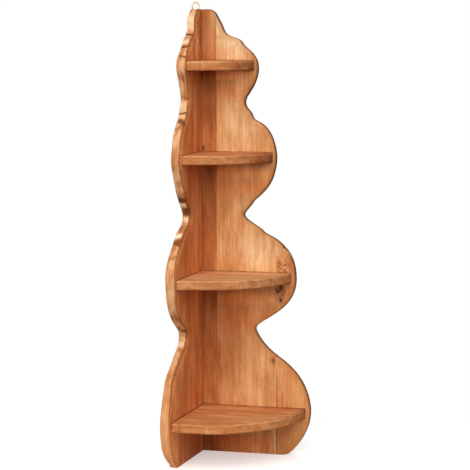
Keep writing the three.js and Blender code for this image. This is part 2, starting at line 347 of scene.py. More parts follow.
@dataclass
class Plate:
    """A flat board-like body with one free edge that follows an outline.

    Fields:
        name: What it is called.
        axes: Where it lies.
        outline: Its free edge.
        edge: The section of that edge.
        back: The reach of its straight back edge.
        columns: Points across the face.
        wobble: How far the free edge departs from the outline, over rows and depth.
        spacing: Distance between rows along the outline.
        closing: The reach past the last row, or None where the outline goes on.
        end_run: The run before the last row in which the rows bend down.
    """

    name: str
    axes: Axes
    outline: Outline
    edge: EdgeShape
    back: float
    columns: int
    wobble: Wobble
    spacing: float = 1.8 * MILLIMETRE
    closing: Optional[float] = None
    end_run: float = 30 * MILLIMETRE

    def build(self) -> bpy.types.Object:
        """The closed surface of the plate.

        The layers of the edge section are carried along the rows. Layer j lies at its own depth, follows
        the outline moved inwards by its inset, and ends short of the last row by its inset too, over a run
        in which the rows bend down smoothly. Points across the face are spread evenly from the back edge.

        Returns:
            The object.
        """
        depths, insets = self.edge.layers()
        rows = self.outline.even_rows(self.spacing)
        end = self.outline.rows[-1]
        bend = smoothstep(rows, end - self.end_run, end)
        layer_rows, layer_reach, layer_depth = [], [], []
        for depth, inset in zip(depths, insets):
            here = rows - np.interp(rows, self.outline.rows, inset) * bend
            reach = np.interp(here, self.outline.rows, self.outline.inset(inset, self.closing))
            deep = np.interp(here, self.outline.rows, depth)
            layer_rows.append(here)
            layer_reach.append(np.maximum(reach + self.wobble(here, deep), self.back))
            layer_depth.append(deep)
        row, reach, depth = (np.array(values) for values in (layer_rows, layer_reach, layer_depth))
        share = np.linspace(0, 1, self.columns)[:, None, None]
        across = self.back + share * (reach - self.back)
        points = self.axes.place(
            across, np.broadcast_to(depth, across.shape), np.broadcast_to(row, across.shape)
        ).reshape(-1, 3)
        faces = block_faces(self.columns, *row.shape, self.axes.turns_over())
        used, renumbered = np.unique(faces, return_inverse=True)
        piece = mesh_from(self.name, points[used], renumbered.reshape(faces.shape))
        weld(piece)
        return piece


def weld(piece: bpy.types.Object) -> None:
    """Joins vertices that lie on each other, drops faces without area and turns the rest outwards."""
    mesh = bmesh.new()
    mesh.from_mesh(piece.data)
    bmesh.ops.remove_doubles(mesh, verts=mesh.verts, dist=0.01 * MILLIMETRE)
    bmesh.ops.dissolve_degenerate(mesh, edges=mesh.edges, dist=0.005 * MILLIMETRE)
    bmesh.ops.recalc_face_normals(mesh, faces=mesh.faces)
    mesh.to_mesh(piece.data)
    mesh.free()
    piece.data.shade_smooth()
    piece.data.set_sharp_from_angle(angle=CREASE)


class Cut(Enum):
    """What is done with a cutting body."""

    KEEP_INSIDE = "INTERSECT"
    TAKE_AWAY = "DIFFERENCE"


def cut(piece: bpy.types.Object, cutter: bpy.types.Object, way: Cut) -> bpy.types.Object:
    """Cuts a closed piece with another one and puts the result in its place.

    Args:
        piece: What is cut.
        cutter: What cuts it.
        way: Whether the inside of the cutter stays or goes.

    Returns:
        The piece.
    """
    modifier = piece.modifiers.new("cut", "BOOLEAN")
    modifier.operation = way.value
    modifier.object = cutter
    modifier.solver = "MANIFOLD"
    bpy.context.view_layer.update()
    graph = bpy.context.evaluated_depsgraph_get()
    mesh = bpy.data.meshes.new_from_object(piece.evaluated_get(graph))
    piece.modifiers.remove(modifier)
    old = piece.data
    piece.data = mesh
    mesh.name = piece.name
    mesh.shade_smooth()
    mesh.set_sharp_from_angle(angle=CREASE)
    bpy.data.meshes.remove(old)
    return piece


def discard(*pieces: bpy.types.Object) -> None:
    """Removes helper objects and their meshes."""
    for piece in pieces:
        mesh = piece.data
        bpy.data.objects.remove(piece)
        bpy.data.meshes.remove(mesh)


def block(name: str, low: Sequence[float], high: Sequence[float], axes: Axes = WORLD) -> bpy.types.Object:
    """A box between two corners, for cutting.

    Args:
        name: Its name.
        low: One corner, in the axes' own coordinates.
        high: The opposite corner.
        axes: What the corners are given in.

    Returns:
        The object.
    """
    share = np.stack(np.meshgrid([0, 1], [0, 1], [0, 1], indexing="ij"), axis=-1).reshape(-1, 3)
    reach, depth, row = (np.array(low) + share * (np.array(high) - np.array(low))).T
    piece = mesh_from(name, axes.place(reach, depth, row), block_faces(2, 2, 2, False))
    weld(piece)
    return piece


def wrapped_faces(around: int, along: int, closed: bool) -> np.ndarray:
    """Faces of a surface that closes on itself around, and along it too where it is closed.

    Point (i, j) has the number i * along + j.

    Args:
        around: Points round it.
        along: Points along it.
        closed: Whether the last point along meets the first.

    Returns:
        An array of faces with four point numbers each.
    """
    number = np.arange(around * along).reshape(around, along)
    number = np.concatenate([number, number[:1]])
    if closed:
        number = np.concatenate([number, number[:, :1]], axis=1)
    corners = [number[:-1, :-1], number[:-1, 1:], number[1:, 1:], number[1:, :-1]]
    return np.stack(corners, axis=-1).reshape(-1, 4)


# Shader nodes


class Bench:
    """Adds nodes to one tree and links them, so that a material reads as a list of steps."""

    def __init__(self, tree: bpy.types.NodeTree) -> None:
        """Starts on a tree."""
        self.tree = tree

    def add(self, kind: str, **settings: object) -> bpy.types.Node:
        """A new node with its settings."""
        node = self.tree.nodes.new(kind)
        for name, value in settings.items():
            setattr(node, name, value)
        return node

    def feed(self, socket: Socket, value: object) -> None:
        """Links a socket to an input, or writes a plain value there."""
        if isinstance(value, bpy.types.NodeSocket):
            self.tree.links.new(value, socket)
        else:
            socket.default_value = value

    def math(self, operation: str, first: object, second: object = 0.0, third: object = 0.0) -> Socket:
        """One step of arithmetic."""
        node = self.add("ShaderNodeMath", operation=operation)
        for socket, value in zip(node.inputs, (first, second, third)):
            self.feed(socket, value)
        return node.outputs[0]

    def product(self, first: object, *others: object) -> Socket:
        """All the values multiplied, from the first one on."""
        for other in others:
            first = self.math("MULTIPLY", first, other)
        return first

    def attribute(self, name: str) -> Socket:
        """The value of an attribute of the mesh."""
        return self.add("ShaderNodeAttribute", attribute_name=name).outputs["Fac"]

    def bump(self, height: Socket, strength: float, distance: float) -> Socket:
        """The normal of a fine relief.

        Args:
            height: The relief, in units of the distance.
            strength: How much of it shows.
            distance: How high a height of 1 is.

        Returns:
            The normal.
        """
        node = self.add("ShaderNodeBump")
        node.inputs["Strength"].default_value = strength
        node.inputs["Distance"].default_value = distance
        self.feed(node.inputs["Height"], height)
        return node.outputs["Normal"]

    def vector(self, operation: str, first: object, second: object = (0.0, 0.0, 0.0)) -> Socket:
        """One step of vector arithmetic."""
        node = self.add("ShaderNodeVectorMath", operation=operation)
        self.feed(node.inputs[0], first)
        self.feed(node.inputs[1], second)
        return node.outputs["Value" if operation == "LENGTH" else "Vector"]

    def apart(self, vector: object) -> tuple[Socket, Socket, Socket]:
        """The three coordinates of a vector."""
        node = self.add("ShaderNodeSeparateXYZ")
        self.feed(node.inputs[0], vector)
        return tuple(node.outputs)

    def together(self, x: object, y: object, z: object) -> Socket:
        """A vector from three coordinates."""
        node = self.add("ShaderNodeCombineXYZ")
        for socket, value in zip(node.inputs, (x, y, z)):
            self.feed(socket, value)
        return node.outputs[0]

    def noise(self, vector: object, per_metre: tuple[float, float, float], detail: float = 2.0,
              roughness: float = 0.5) -> Socket:
        """Noise from 0 to 1 with its own fineness along each axis.

        Args:
            vector: Where it is read.
            per_metre: How many changes a metre holds along each axis.
            detail: How many finer layers are added.
            roughness: How strong those are.

        Returns:
            The value.
        """
        node = self.add("ShaderNodeTexNoise", noise_dimensions="3D")
        self.feed(node.inputs["Vector"], self.vector("MULTIPLY", vector, per_metre))
        node.inputs["Scale"].default_value = 1.0
        node.inputs["Detail"].default_value = detail
        node.inputs["Roughness"].default_value = roughness
        return node.outputs["Fac"]

    def spread(self, value: object, low: object, high: object, to_low: object = 0.0,
               to_high: object = 1.0) -> Socket:
        """A value carried smoothly from one range to another, and held at its ends."""
        node = self.add("ShaderNodeMapRange", interpolation_type="SMOOTHSTEP")
        for name, given in zip(("Value", "From Min", "From Max", "To Min", "To Max"),
                               (value, low, high, to_low, to_high)):
            self.feed(node.inputs[name], given)
        return node.outputs["Result"]

    def mix(self, factor: object, first: object, second: object, blend: str = "MIX") -> Socket:
        """Two colours mixed."""
        node = self.add("ShaderNodeMix", data_type="RGBA", blend_type=blend)
        for index, value in ((0, factor), (6, first), (7, second)):
            if isinstance(value, tuple) and len(value) == 3:
                value = (*value, 1.0)
            self.feed(node.inputs[index], value)
        return node.outputs[2]

    def group(self, tree: bpy.types.NodeTree, **values: object) -> bpy.types.Node:
        """A node group with its inputs fed by name; an underscore stands for a space."""
        node = self.add("ShaderNodeGroup", node_tree=tree)
        for name, value in values.items():
            self.feed(node.inputs[name.replace("_", " ")], value)
        return node


def new_group(name: str, inputs: dict[str, str], outputs: dict[str, str]) -> tuple[Bench, dict, dict]:
    """An empty shader group with named sockets.

    Args:
        name: The group's name.
        inputs: Socket kinds by input name.
        outputs: Socket kinds by output name.

    Returns:
        The bench for its tree, its inputs by name, and its output sockets by name.
    """
    tree = bpy.data.node_groups.new(name, "ShaderNodeTree")
    for label, kind in inputs.items():
        tree.interface.new_socket(label, in_out="INPUT", socket_type=f"NodeSocket{kind}")
    for label, kind in outputs.items():
        tree.interface.new_socket(label, in_out="OUTPUT", socket_type=f"NodeSocket{kind}")
    entry = tree.nodes.new("NodeGroupInput")
    leave = tree.nodes.new("NodeGroupOutput")
    given = {label: entry.outputs[label] for label in inputs}
    wanted = {label: leave.inputs[label] for label in outputs}
    return Bench(tree), given, wanted


def grain_group() -> bpy.types.NodeTree:
    """The figure of sawn wood, with the grain along the vector's third axis.

    Growth rings are cylinders round a pith line beside the board: the distance from that line, bent by slow
    noise, is cut into rings, each of which darkens slowly and ends sharply, and they fade where the bands
    are pale. Bands, streaks and fibres are noise drawn out along the grain, one finer than the other. The
    blotches are where the stain was taken up unevenly, and the pores are short dark dashes.

    Returns:
        The group.
    """
    bench, given, wanted = new_group(
        "wood grain",
        {"Vector": "Vector", "Pith": "Vector", "Ring Width": "Float", "Wander": "Float"},
        {"Rings": "Float", "Bands": "Float", "Streaks": "Float", "Fibres": "Float", "Blotches": "Float",
         "Pores": "Float"},
    )
    place = given["Vector"]
    wander = bench.math("SUBTRACT", bench.noise(place, (9, 9, 1.6), 2.0), 0.5)
    drift = bench.math("SUBTRACT", bench.noise(place, (40, 40, 6), 1.0), 0.5)
    x, y, _ = bench.apart(bench.vector("SUBTRACT", place, given["Pith"]))
    from_pith = bench.vector("LENGTH", bench.together(x, y, 0.0))
    bent = bench.math("MULTIPLY_ADD", wander, given["Wander"], from_pith)
    bent = bench.math("MULTIPLY_ADD", drift, bench.math("MULTIPLY", given["Wander"], 0.12), bent)
    ring = bench.math("FRACT", bench.math("DIVIDE", bent, given["Ring Width"]))
    late = bench.spread(ring, 0.35, 0.86)
    early = bench.spread(ring, 0.9, 1.0, 1.0, 0.0)
    bands = bench.noise(place, (26, 26, 1.3), 3.0, 0.55)
    kept = bench.spread(bands, 0.38, 0.62)
    bench.feed(wanted["Rings"], bench.product(late, early, kept))
    bench.feed(wanted["Bands"], bench.spread(bands, 0.36, 0.66))
    bench.feed(wanted["Streaks"], bench.spread(bench.noise(place, (75, 75, 3.0), 6.0, 0.85), 0.42, 0.6))
    bench.feed(wanted["Fibres"], bench.noise(place, (900, 900, 22), 3.0, 0.65))
    bench.feed(wanted["Blotches"], bench.spread(bench.noise(place, (21, 21, 7), 5.0, 0.68), 0.38, 0.62))
    bench.feed(wanted["Pores"], bench.spread(bench.noise(place, (420, 420, 17), 2.0, 0.6), 0.6, 0.74))
    return bench.tree


def knot_group() -> bpy.types.NodeTree:
    """A knot, which the grain bends round.

    Its distance is an ellipse's, longer along the grain and made ragged by noise. The core is inside it and
    the halo reaches out to three radii, where the vector is drawn towards the middle, so that the grain
    flows round. The curls are thin rings in the halo, bent by strong noise and broken up by another.

    Returns:
        The group.
    """
    bench, given, wanted = new_group(
        "knot",
        {"Vector": "Vector", "Across": "Float", "Along": "Float", "Radius": "Float", "Stretch": "Float"},
        {"Vector": "Vector", "Core": "Float", "Halo": "Float", "Curls": "Float"},
    )
    x, y, z = bench.apart(given["Vector"])
    ragged = bench.math("SUBTRACT", bench.noise(given["Vector"], (190, 190, 120), 5.0, 0.8), 0.5)
    dx = bench.math("SUBTRACT", x, given["Across"])
    dz = bench.math("DIVIDE", bench.math("SUBTRACT", z, given["Along"]), given["Stretch"])
    far = bench.math("DIVIDE", bench.vector("LENGTH", bench.together(dx, 0.0, dz)), given["Radius"])
    far = bench.math("MULTIPLY_ADD", ragged, 2.2, far)
    bench.feed(wanted["Core"], bench.spread(far, 0.45, 1.2, 1.0, 0.0))
    halo = bench.spread(far, 0.9, 3.0, 1.0, 0.0)
    bench.feed(wanted["Halo"], halo)
    bend = bench.noise(given["Vector"], (75, 75, 60), 2.0, 0.5)
    wave = bench.math("SINE", bench.math("MULTIPLY_ADD", bend, 30.0, bench.math("MULTIPLY", far, 2.0)))
    broken = bench.spread(bench.noise(given["Vector"], (90, 90, 70), 3.0, 0.6), 0.38, 0.52)
    curls = bench.math("MULTIPLY", bench.spread(wave, -0.5, 0.5), broken)
    bench.feed(wanted["Curls"], bench.math("MULTIPLY", curls, halo))
    pulled = bench.math("MULTIPLY_ADD", bench.math("MULTIPLY", dx, halo), -0.72, x)
    bench.feed(wanted["Vector"], bench.together(pulled, y, z))
    return bench.tree


def edge_group() -> bpy.types.NodeTree:
    """Wear, stain and painted light and shade along a free edge, from the distance to it, the share of the
    thickness and the turn.

    The line is a dark tone that covers the edge from a given share of the thickness to the back, smeared by
    noise:
    partly a stain on the edge and partly painted shade where the edge turns away from the light. Worn is the
    pale line where the near arris ends, at a turn of 1, partly a rub and partly a painted highlight, and the
    crease is the painted shade of the arris before that, where it turns away from the light. Warmth is the
    deeper tone that fades into the face from the rim, sawn is the edge itself, and the patches are the light
    and dark places where it was worked by hand.

    Returns:
        The group.
    """
    bench, given, wanted = new_group(
        "edge age",
        {"Vector": "Vector", "Rim": "Float", "Through": "Float", "Turn": "Float", "Line From": "Float"},
        {"Line": "Float", "Worn": "Float", "Crease": "Float", "Warmth": "Float", "Patches": "Float",
         "Sawn": "Float"},
    )
    cloud = bench.noise(given["Vector"], (38, 38, 38), 3.0, 0.6)
    near_rim = bench.spread(given["Rim"], 0.0, 0.007, 1.0, 0.0)
    smeared = bench.math("MULTIPLY_ADD", cloud, 0.4, bench.math("SUBTRACT", given["Through"], 0.2))
    back = bench.spread(smeared, given["Line From"], bench.math("ADD", given["Line From"], 0.16))
    patchy = bench.spread(cloud, 0.15, 0.5, 0.6, 1.0)
    bench.feed(wanted["Line"], bench.product(back, near_rim, patchy))
    drifting = bench.math("MULTIPLY_ADD", bench.noise(given["Vector"], (90, 90, 60), 3.0, 0.6), 0.5,
                          bench.math("SUBTRACT", given["Turn"], 0.25))
    rising = bench.spread(drifting, 0.72, 0.92)
    band = bench.spread(drifting, 0.8, 0.95)
    ending = bench.spread(drifting, 1.05, 1.4, 1.0, 0.0)
    rub = bench.math("MULTIPLY", rising, bench.math("MULTIPLY", ending, bench.spread(cloud, 0.34, 0.6)))
    bench.feed(wanted["Worn"], bench.math("MULTIPLY", rub, near_rim))
    before = bench.spread(drifting, 0.05, 0.5)
    broken = bench.spread(bench.noise(given["Vector"], (70, 70, 26), 4.0, 0.65), 0.3, 0.5, 0.5, 1.0)
    arris = bench.math("MULTIPLY", before, bench.math("SUBTRACT", 1.0, rising))
    bench.feed(wanted["Crease"], bench.math("MULTIPLY", arris, broken))
    reach = bench.math("MULTIPLY_ADD", cloud, 0.05, 0.004)
    bench.feed(wanted["Warmth"], bench.spread(bench.math("DIVIDE", given["Rim"], reach), 0.0, 1.0, 1.0, 0.0))
    bench.feed(wanted["Sawn"], bench.math("MULTIPLY", band, near_rim))
    worked = bench.noise(given["Vector"], (50, 70, 12), 5.0, 0.6)
    bench.feed(wanted["Patches"], bench.math("MULTIPLY", bench.spread(worked, 0.36, 0.66), near_rim))
    return bench.tree


def seam_group() -> bpy.types.NodeTree:
    """The dark line where another piece meets the face, from the distance to its plane: partly the joint itself
    and partly painted shade where the pieces meet.

    The line fades over the outer part of its width, stays between two ends along its length, and noise
    thins it in places.
    """
    bench, given, wanted = new_group(
        "seam",
        {"Vector": "Vector", "Distance": "Float", "Along": "Float", "Low": "Float", "High": "Float",
         "Width": "Float"},
        {"Line": "Float"},
    )
    away = bench.math("DIVIDE", bench.math("ABSOLUTE", given["Distance"]), given["Width"])
    line = bench.spread(away, 0.3, 1.0, 1.0, 0.0)
    within = bench.math("MULTIPLY", bench.math("GREATER_THAN", given["Along"], given["Low"]),
                        bench.math("LESS_THAN", given["Along"], given["High"]))
    thinned = bench.spread(bench.noise(given["Vector"], (55, 55, 55), 3.0, 0.6), 0.3, 0.6, 0.45, 1.0)
    bench.feed(wanted["Line"], bench.product(line, within, thinned))
    return bench.tree


def patch_group() -> bpy.types.NodeTree:
    """A soft-edged oval place on a face: full within a fifth of its half-widths, nothing beyond them, and
    ragged with noise."""
    bench, given, wanted = new_group(
        "patch",
        {"Vector": "Vector", "Across": "Float", "Along": "Float", "Wide": "Float", "High": "Float"},
        {"Mask": "Float"},
    )
    x, _, z = bench.apart(given["Vector"])
    dx = bench.math("DIVIDE", bench.math("SUBTRACT", x, given["Across"]), given["Wide"])
    dz = bench.math("DIVIDE", bench.math("SUBTRACT", z, given["Along"]), given["High"])
    far = bench.vector("LENGTH", bench.together(dx, 0.0, dz))
    ragged = bench.math("SUBTRACT", bench.noise(given["Vector"], (48, 48, 13), 5.0, 0.65), 0.5)
    far = bench.math("MULTIPLY_ADD", ragged, 0.9, far)
    bench.feed(wanted["Mask"], bench.spread(far, 0.2, 1.1, 1.0, 0.0))
    return bench.tree


def crack_group() -> bpy.types.NodeTree:
    """A short drying crack along the grain: a thin line whose side-to-side place follows noise."""
    bench, given, wanted = new_group(
        "crack",
        {"Vector": "Vector", "Across": "Float", "Low": "Float", "High": "Float", "Width": "Float"},
        {"Gap": "Float"},
    )
    x, _, z = bench.apart(given["Vector"])
    jag = bench.math("SUBTRACT", bench.noise(bench.together(0.0, 0.0, z), (1, 1, 90), 3.0, 0.7), 0.5)
    off = bench.math("ABSOLUTE", bench.math("MULTIPLY_ADD", jag, 0.012,
                                            bench.math("SUBTRACT", x, given["Across"])))
    thin = bench.math("SUBTRACT", 1.0, bench.spread(off, 0.0, given["Width"]))
    above = bench.spread(bench.math("SUBTRACT", z, given["Low"]), 0.0, 0.012)
    below = bench.spread(bench.math("SUBTRACT", given["High"], z), 0.0, 0.012)
    bench.feed(wanted["Gap"], bench.math("MULTIPLY", thin, bench.math("MULTIPLY", above, below)))
    return bench.tree


class Grain(Enum):
    """Which axes of the frame run across the face, through the board and along the grain."""

    RIGHT_PANEL = ("X", "Y", "Z")
    LEFT_PANEL = ("Y", "X", "Z")
    SHELF = ("Y", "Z", "X")

    def turned(self, bench: Bench, place: Socket) -> Socket:
        """The place read across, through and along the grain."""
        axes = dict(zip("XYZ", bench.apart(place)))
        return bench.together(*(axes[letter] for letter in self.value))


@dataclass(frozen=True)
class Knot:
    """A knot in a board: its place across and along the grain in the frame, and its size."""

    across: float
    along: float
    radius: float
    stretch: float = 1.5
    strength: float = 0.8
    curl: float = 0.25


@dataclass(frozen=True)
class Crack:
    """A crack along the grain: its place across, and where it starts and ends."""

    across: float
    low: float
    high: float
    width: float = 0.9 * MILLIMETRE


@dataclass(frozen=True)
class Seam:
    """Where another piece meets a face, marked by a dark line that is partly the joint and partly painted
    shade: the plane's axis and level, and the stretch that it covers.
    """

    axis: str
    level: float
    along: str
    low: float
    high: float
    width: float = 3.2 * MILLIMETRE
    strength: float = 0.92


@dataclass(frozen=True)
class Streak:
    """A stripe along the grain: its place across, where it starts and ends, how wide it is and how dark, or
    how pale where that is below zero."""

    across: float
    low: float
    high: float
    width: float
    strength: float = 0.5


@dataclass(frozen=True)
class Patch:
    """A place where the colour is paler or, below zero, darker, partly uneven stain and partly painted light
    and shade: its middle, its half-widths, its strength.

    A tone, where it has one, is what the colour is multiplied by instead.
    """

    across: float
    along: float
    wide: float
    high: float
    strength: float = 1.0
    tone: Optional[Colour] = None


@dataclass(frozen=True)
class WoodFinish:
    """Stained, lightly waxed solid wood.

    Fields:
        name: The material's name.
        light: Colour of the pale wood.
        deep: Colour of the darker bands.
        red: Colour of the reddish streaks.
        grain: Which way the grain runs.
        shift: Moves the figure, so that no two boards match.
        pith: The pith line's place across and through the board.
        ring_width: Width of a growth ring.
        ring_depth: How strongly the rings show.
        contrast: How strongly bands and streaks show.
        knots: The board's knots.
        crack: Its crack, where it has one.
        streaks: Its dark and pale stripes.
        patches: The places where the colour is paler or darker, partly uneven stain and partly painted light
            and shade.
        seams: Where other pieces meet it, drawn as dark lines that are partly the joint and partly painted
            shade.
        marks_to: The share of the thickness that the patches, streaks and lines of the seams reach.
        edge_tone: How strongly the tones along the free edge show; the dark ones are partly stain and partly
            painted shade.
        line_from: The share of the thickness from which the edge is darkened, partly as stain and partly as
            painted shade.
        rub_and_highlight: How strongly the arris is made pale, partly as wear and partly as a painted
            highlight.
        worked: How strongly the patches of the sawn edge show.
        arris_shade: How dark the near arris is painted, as shade where it turns away from the light.
        sawn: What the colour is multiplied by on the sawn edge band; on the shelves it darkens the fronts,
            partly as stain that the edge takes up and partly as painted shade of the front against the lit top.
    """

    name: str
    light: Colour
    deep: Colour
    red: Colour
    grain: Grain
    shift: tuple[float, float, float] = (0.0, 0.0, 0.0)
    pith: tuple[float, float, float] = (0.35, 0.12, 0.0)
    ring_width: float = 0.007
    ring_depth: float = 0.07
    contrast: float = 1.0
    knots: tuple[Knot, ...] = ()
    crack: Optional[Crack] = None
    streaks: tuple[Streak, ...] = ()
    patches: tuple[Patch, ...] = ()
    seams: tuple[Seam, ...] = ()
    marks_to: float = 0.5
    edge_tone: float = 1.0
    line_from: float = 0.72
    rub_and_highlight: float = 0.3
    worked: float = 0.0
    arris_shade: float = 0.0
    sawn: Colour = (1.0, 1.0, 1.0)

    DARK = (0.15, 0.043, 0.016)
    PORES = (0.40, 0.105, 0.028)
    RIM = (0.27, 0.07, 0.02)
    SHADE = (0.33, 0.105, 0.036)
    PALE = (0.94, 0.61, 0.34)
    NICK_DIRT_AND_SHADE = (0.19, 0.05, 0.016)
    WORN_AND_HIGHLIT = (1.0, 0.76, 0.49)
    # Tints of the patches: the pale one is partly paler stain and partly painted light, the dark one partly
    # soaked-in stain and partly painted shade; the dark one also darkens the worked places of an edge.
    PALER_AND_LIT = (1.13, 1.42, 1.75)
    SOAKED_AND_SHADED = (0.78, 0.66, 0.58)

    def material(self, groups: dict[str, bpy.types.NodeTree]) -> bpy.types.Material:
        """Builds the material.

        Args:
            groups: The shared groups by name.

        Returns:
            The material.
        """
        made, bench, shader = new_material(self.name)
        where = bench.add("ShaderNodeTexCoord").outputs["Object"]
        place = self.grain.turned(bench, where)
        bent, dark, halo = self._knots(bench, groups, place)
        moved = bench.add("ShaderNodeMapping")
        bench.feed(moved.inputs["Vector"], bent)
        moved.inputs["Location"].default_value = self.shift
        grain = bench.group(groups["grain"], Vector=moved.outputs["Vector"], Pith=self.pith,
                            Ring_Width=self.ring_width, Wander=0.09).outputs
        colour = self._figure(bench, grain)
        reached = bench.math("LESS_THAN", bench.attribute("through"), self.marks_to)
        # Patches lighten, darken or tint the colour: partly uneven stain and partly painted light and shade.
        for patch in self.patches:
            mask = bench.group(groups["patch"], Vector=place, Across=patch.across, Along=patch.along,
                               Wide=patch.wide, High=patch.high).outputs["Mask"]
            tone = patch.tone or (self.PALER_AND_LIT if patch.strength > 0 else self.SOAKED_AND_SHADED)
            tinted = bench.mix(1.0, colour, tone, "MULTIPLY")
            colour = bench.mix(bench.product(mask, reached, abs(patch.strength)), colour, tinted)
        for mask in halo:
            colour = bench.mix(mask, colour, self.SHADE)
        for mask in dark:
            colour = bench.mix(mask, colour, self.DARK)
        for streak in self.streaks:
            mask = bench.group(groups["crack"], Vector=place, Across=streak.across, Low=streak.low,
                               High=streak.high, Width=streak.width).outputs["Gap"]
            colour = bench.mix(bench.product(mask, reached, abs(streak.strength)), colour,
                               self.DARK if streak.strength > 0 else self.PALE)
        colour = self._edge(bench, groups, place, colour)
        height = bench.math("MULTIPLY", grain["Streaks"], -0.25)
        height = bench.math("MULTIPLY_ADD", grain["Fibres"], 0.5, height)
        height = bench.math("MULTIPLY_ADD", grain["Rings"], 0.25, height)
        height = bench.math("MULTIPLY_ADD", grain["Pores"], -0.4, height)
        if self.crack:
            gap = bench.group(groups["crack"], Vector=place, Across=self.crack.across, Low=self.crack.low,
                              High=self.crack.high, Width=self.crack.width).outputs["Gap"]
            colour = bench.mix(gap, colour, self.DARK)
            height = bench.math("MULTIPLY_ADD", gap, -2.0, height)
        # Dark lines along the seams: where other pieces meet the board they are partly the joint and partly
        # painted shade.
        for line in self._seams(bench, groups, where, reached):
            colour = bench.mix(line, colour, self.DARK)
        bench.feed(shader.inputs["Base Color"], colour)
        bench.feed(shader.inputs["Roughness"], bench.spread(grain["Fibres"], 0.2, 0.8, 0.5, 0.7))
        bench.feed(shader.inputs["Specular IOR Level"],
                   bench.spread(bench.attribute("rim"), 0.004, 0.014, 0.0, 0.06))
        bench.feed(shader.inputs["Normal"], bench.bump(height, 0.5, 0.5 * MILLIMETRE))
        return made

    def _knots(self, bench: Bench, groups: dict[str, bpy.types.NodeTree],
               place: Socket) -> tuple[Socket, list[Socket], list[Socket]]:
        """The place bent round the knots, their cores and their halos."""
        dark, halo = [], []
        for knot in self.knots:
            node = bench.group(groups["knot"], Vector=place, Across=knot.across, Along=knot.along,
                               Radius=knot.radius, Stretch=knot.stretch)
            place = node.outputs["Vector"]
            dark.append(bench.math("MULTIPLY", node.outputs["Core"], knot.strength))
            halo.append(bench.math("MULTIPLY", node.outputs["Halo"], 0.3 * knot.strength))
            halo.append(bench.math("MULTIPLY", node.outputs["Curls"], knot.curl))
        return place, dark, halo

    def _figure(self, bench: Bench, grain: object) -> Socket:
        """The colour of the plain wood: light, then bands, streaks, rings, blotches, fibres and pores."""
        colour = bench.mix(bench.math("MULTIPLY", grain["Bands"], 0.6 * self.contrast), self.light, self.deep)
        colour = bench.mix(bench.math("MULTIPLY", grain["Streaks"], 0.5 * self.contrast), colour, self.red)
        colour = bench.mix(bench.math("MULTIPLY", grain["Rings"], self.ring_depth), colour, self.red)
        shade = bench.mix(grain["Blotches"], (1.08, 1.13, 1.18), (0.86, 0.76, 0.66))
        colour = bench.mix(0.85 * self.contrast, colour, bench.mix(1.0, colour, shade, "MULTIPLY"))
        fibres = bench.math("MULTIPLY", bench.spread(grain["Fibres"], 0.3, 0.7), 0.16)
        colour = bench.mix(bench.math("MULTIPLY", fibres, self.contrast), colour, self.deep, "MULTIPLY")
        return bench.mix(bench.math("MULTIPLY", grain["Pores"], 0.5 * self.contrast), colour, self.PORES)

    def _seams(self, bench: Bench, groups: dict[str, bpy.types.NodeTree], where: Socket,
               reached: Socket) -> list[Socket]:
        """The masks of the lines where other pieces meet the board, as deep as they reach."""
        axes = dict(zip("XYZ", bench.apart(where)))
        return [
            bench.product(reached, seam.strength, bench.group(
                groups["seam"], Vector=where, Distance=bench.math("SUBTRACT", axes[seam.axis], seam.level),
                Along=axes[seam.along], Low=seam.low, High=seam.high, Width=seam.width).outputs["Line"])
            for seam in self.seams
        ]

    def _edge(self, bench: Bench, groups: dict[str, bpy.types.NodeTree], place: Socket,
              colour: Socket) -> Socket:
        """The colour with the wear, stain and painted light and shade of the free edge, and the marks of its
        chips.
        """
        rim, through, turn, mark = (bench.attribute(name) for name in ("rim", "through", "turn", "mark"))
        wear_and_shade = bench.group(groups["edge"], Vector=place, Rim=rim, Through=through, Turn=turn,
                          Line_From=self.line_from).outputs
        colour = bench.mix(bench.math("MULTIPLY", wear_and_shade["Warmth"], 0.35 * self.edge_tone), colour, self.red)
        # The near arris is painted darker, as shade where it turns away from the light.
        colour = bench.mix(bench.math("MULTIPLY", wear_and_shade["Crease"], self.arris_shade), colour, self.SHADE)
        band = bench.mix(1.0, colour, self.sawn, "MULTIPLY")
        dark = bench.spread(wear_and_shade["Patches"], 0.0, 0.3, self.worked, 0.0)
        band = bench.mix(dark, band, bench.mix(1.0, band, self.SOAKED_AND_SHADED, "MULTIPLY"))
        band = bench.mix(bench.math("MULTIPLY", wear_and_shade["Patches"], self.worked), band, self.PALE)
        # Chips with a pale mark are lighter on the edge band: partly wear and partly a painted highlight.
        band = bench.mix(bench.spread(mark, 0.0, -0.8), band, self.WORN_AND_HIGHLIT)
        colour = bench.mix(wear_and_shade["Sawn"], colour, band)
        # A pale line where the near arris ends: partly wear and partly a painted highlight.
        colour = bench.mix(bench.math("MULTIPLY", wear_and_shade["Worn"], self.rub_and_highlight), colour, self.PALE)
        # A dark tone over the back of the edge: partly stain and partly painted shade where the edge turns away
        # from the light.
        colour = bench.mix(bench.math("MULTIPLY", wear_and_shade["Line"], 0.85 * self.edge_tone), colour, self.RIM)
        # Chips with a dark mark are darker: partly dirt and partly painted shade in the nicks.
        return bench.mix(bench.spread(mark, 0.0, 0.8, 0.0, 0.92), colour, self.NICK_DIRT_AND_SHADE)


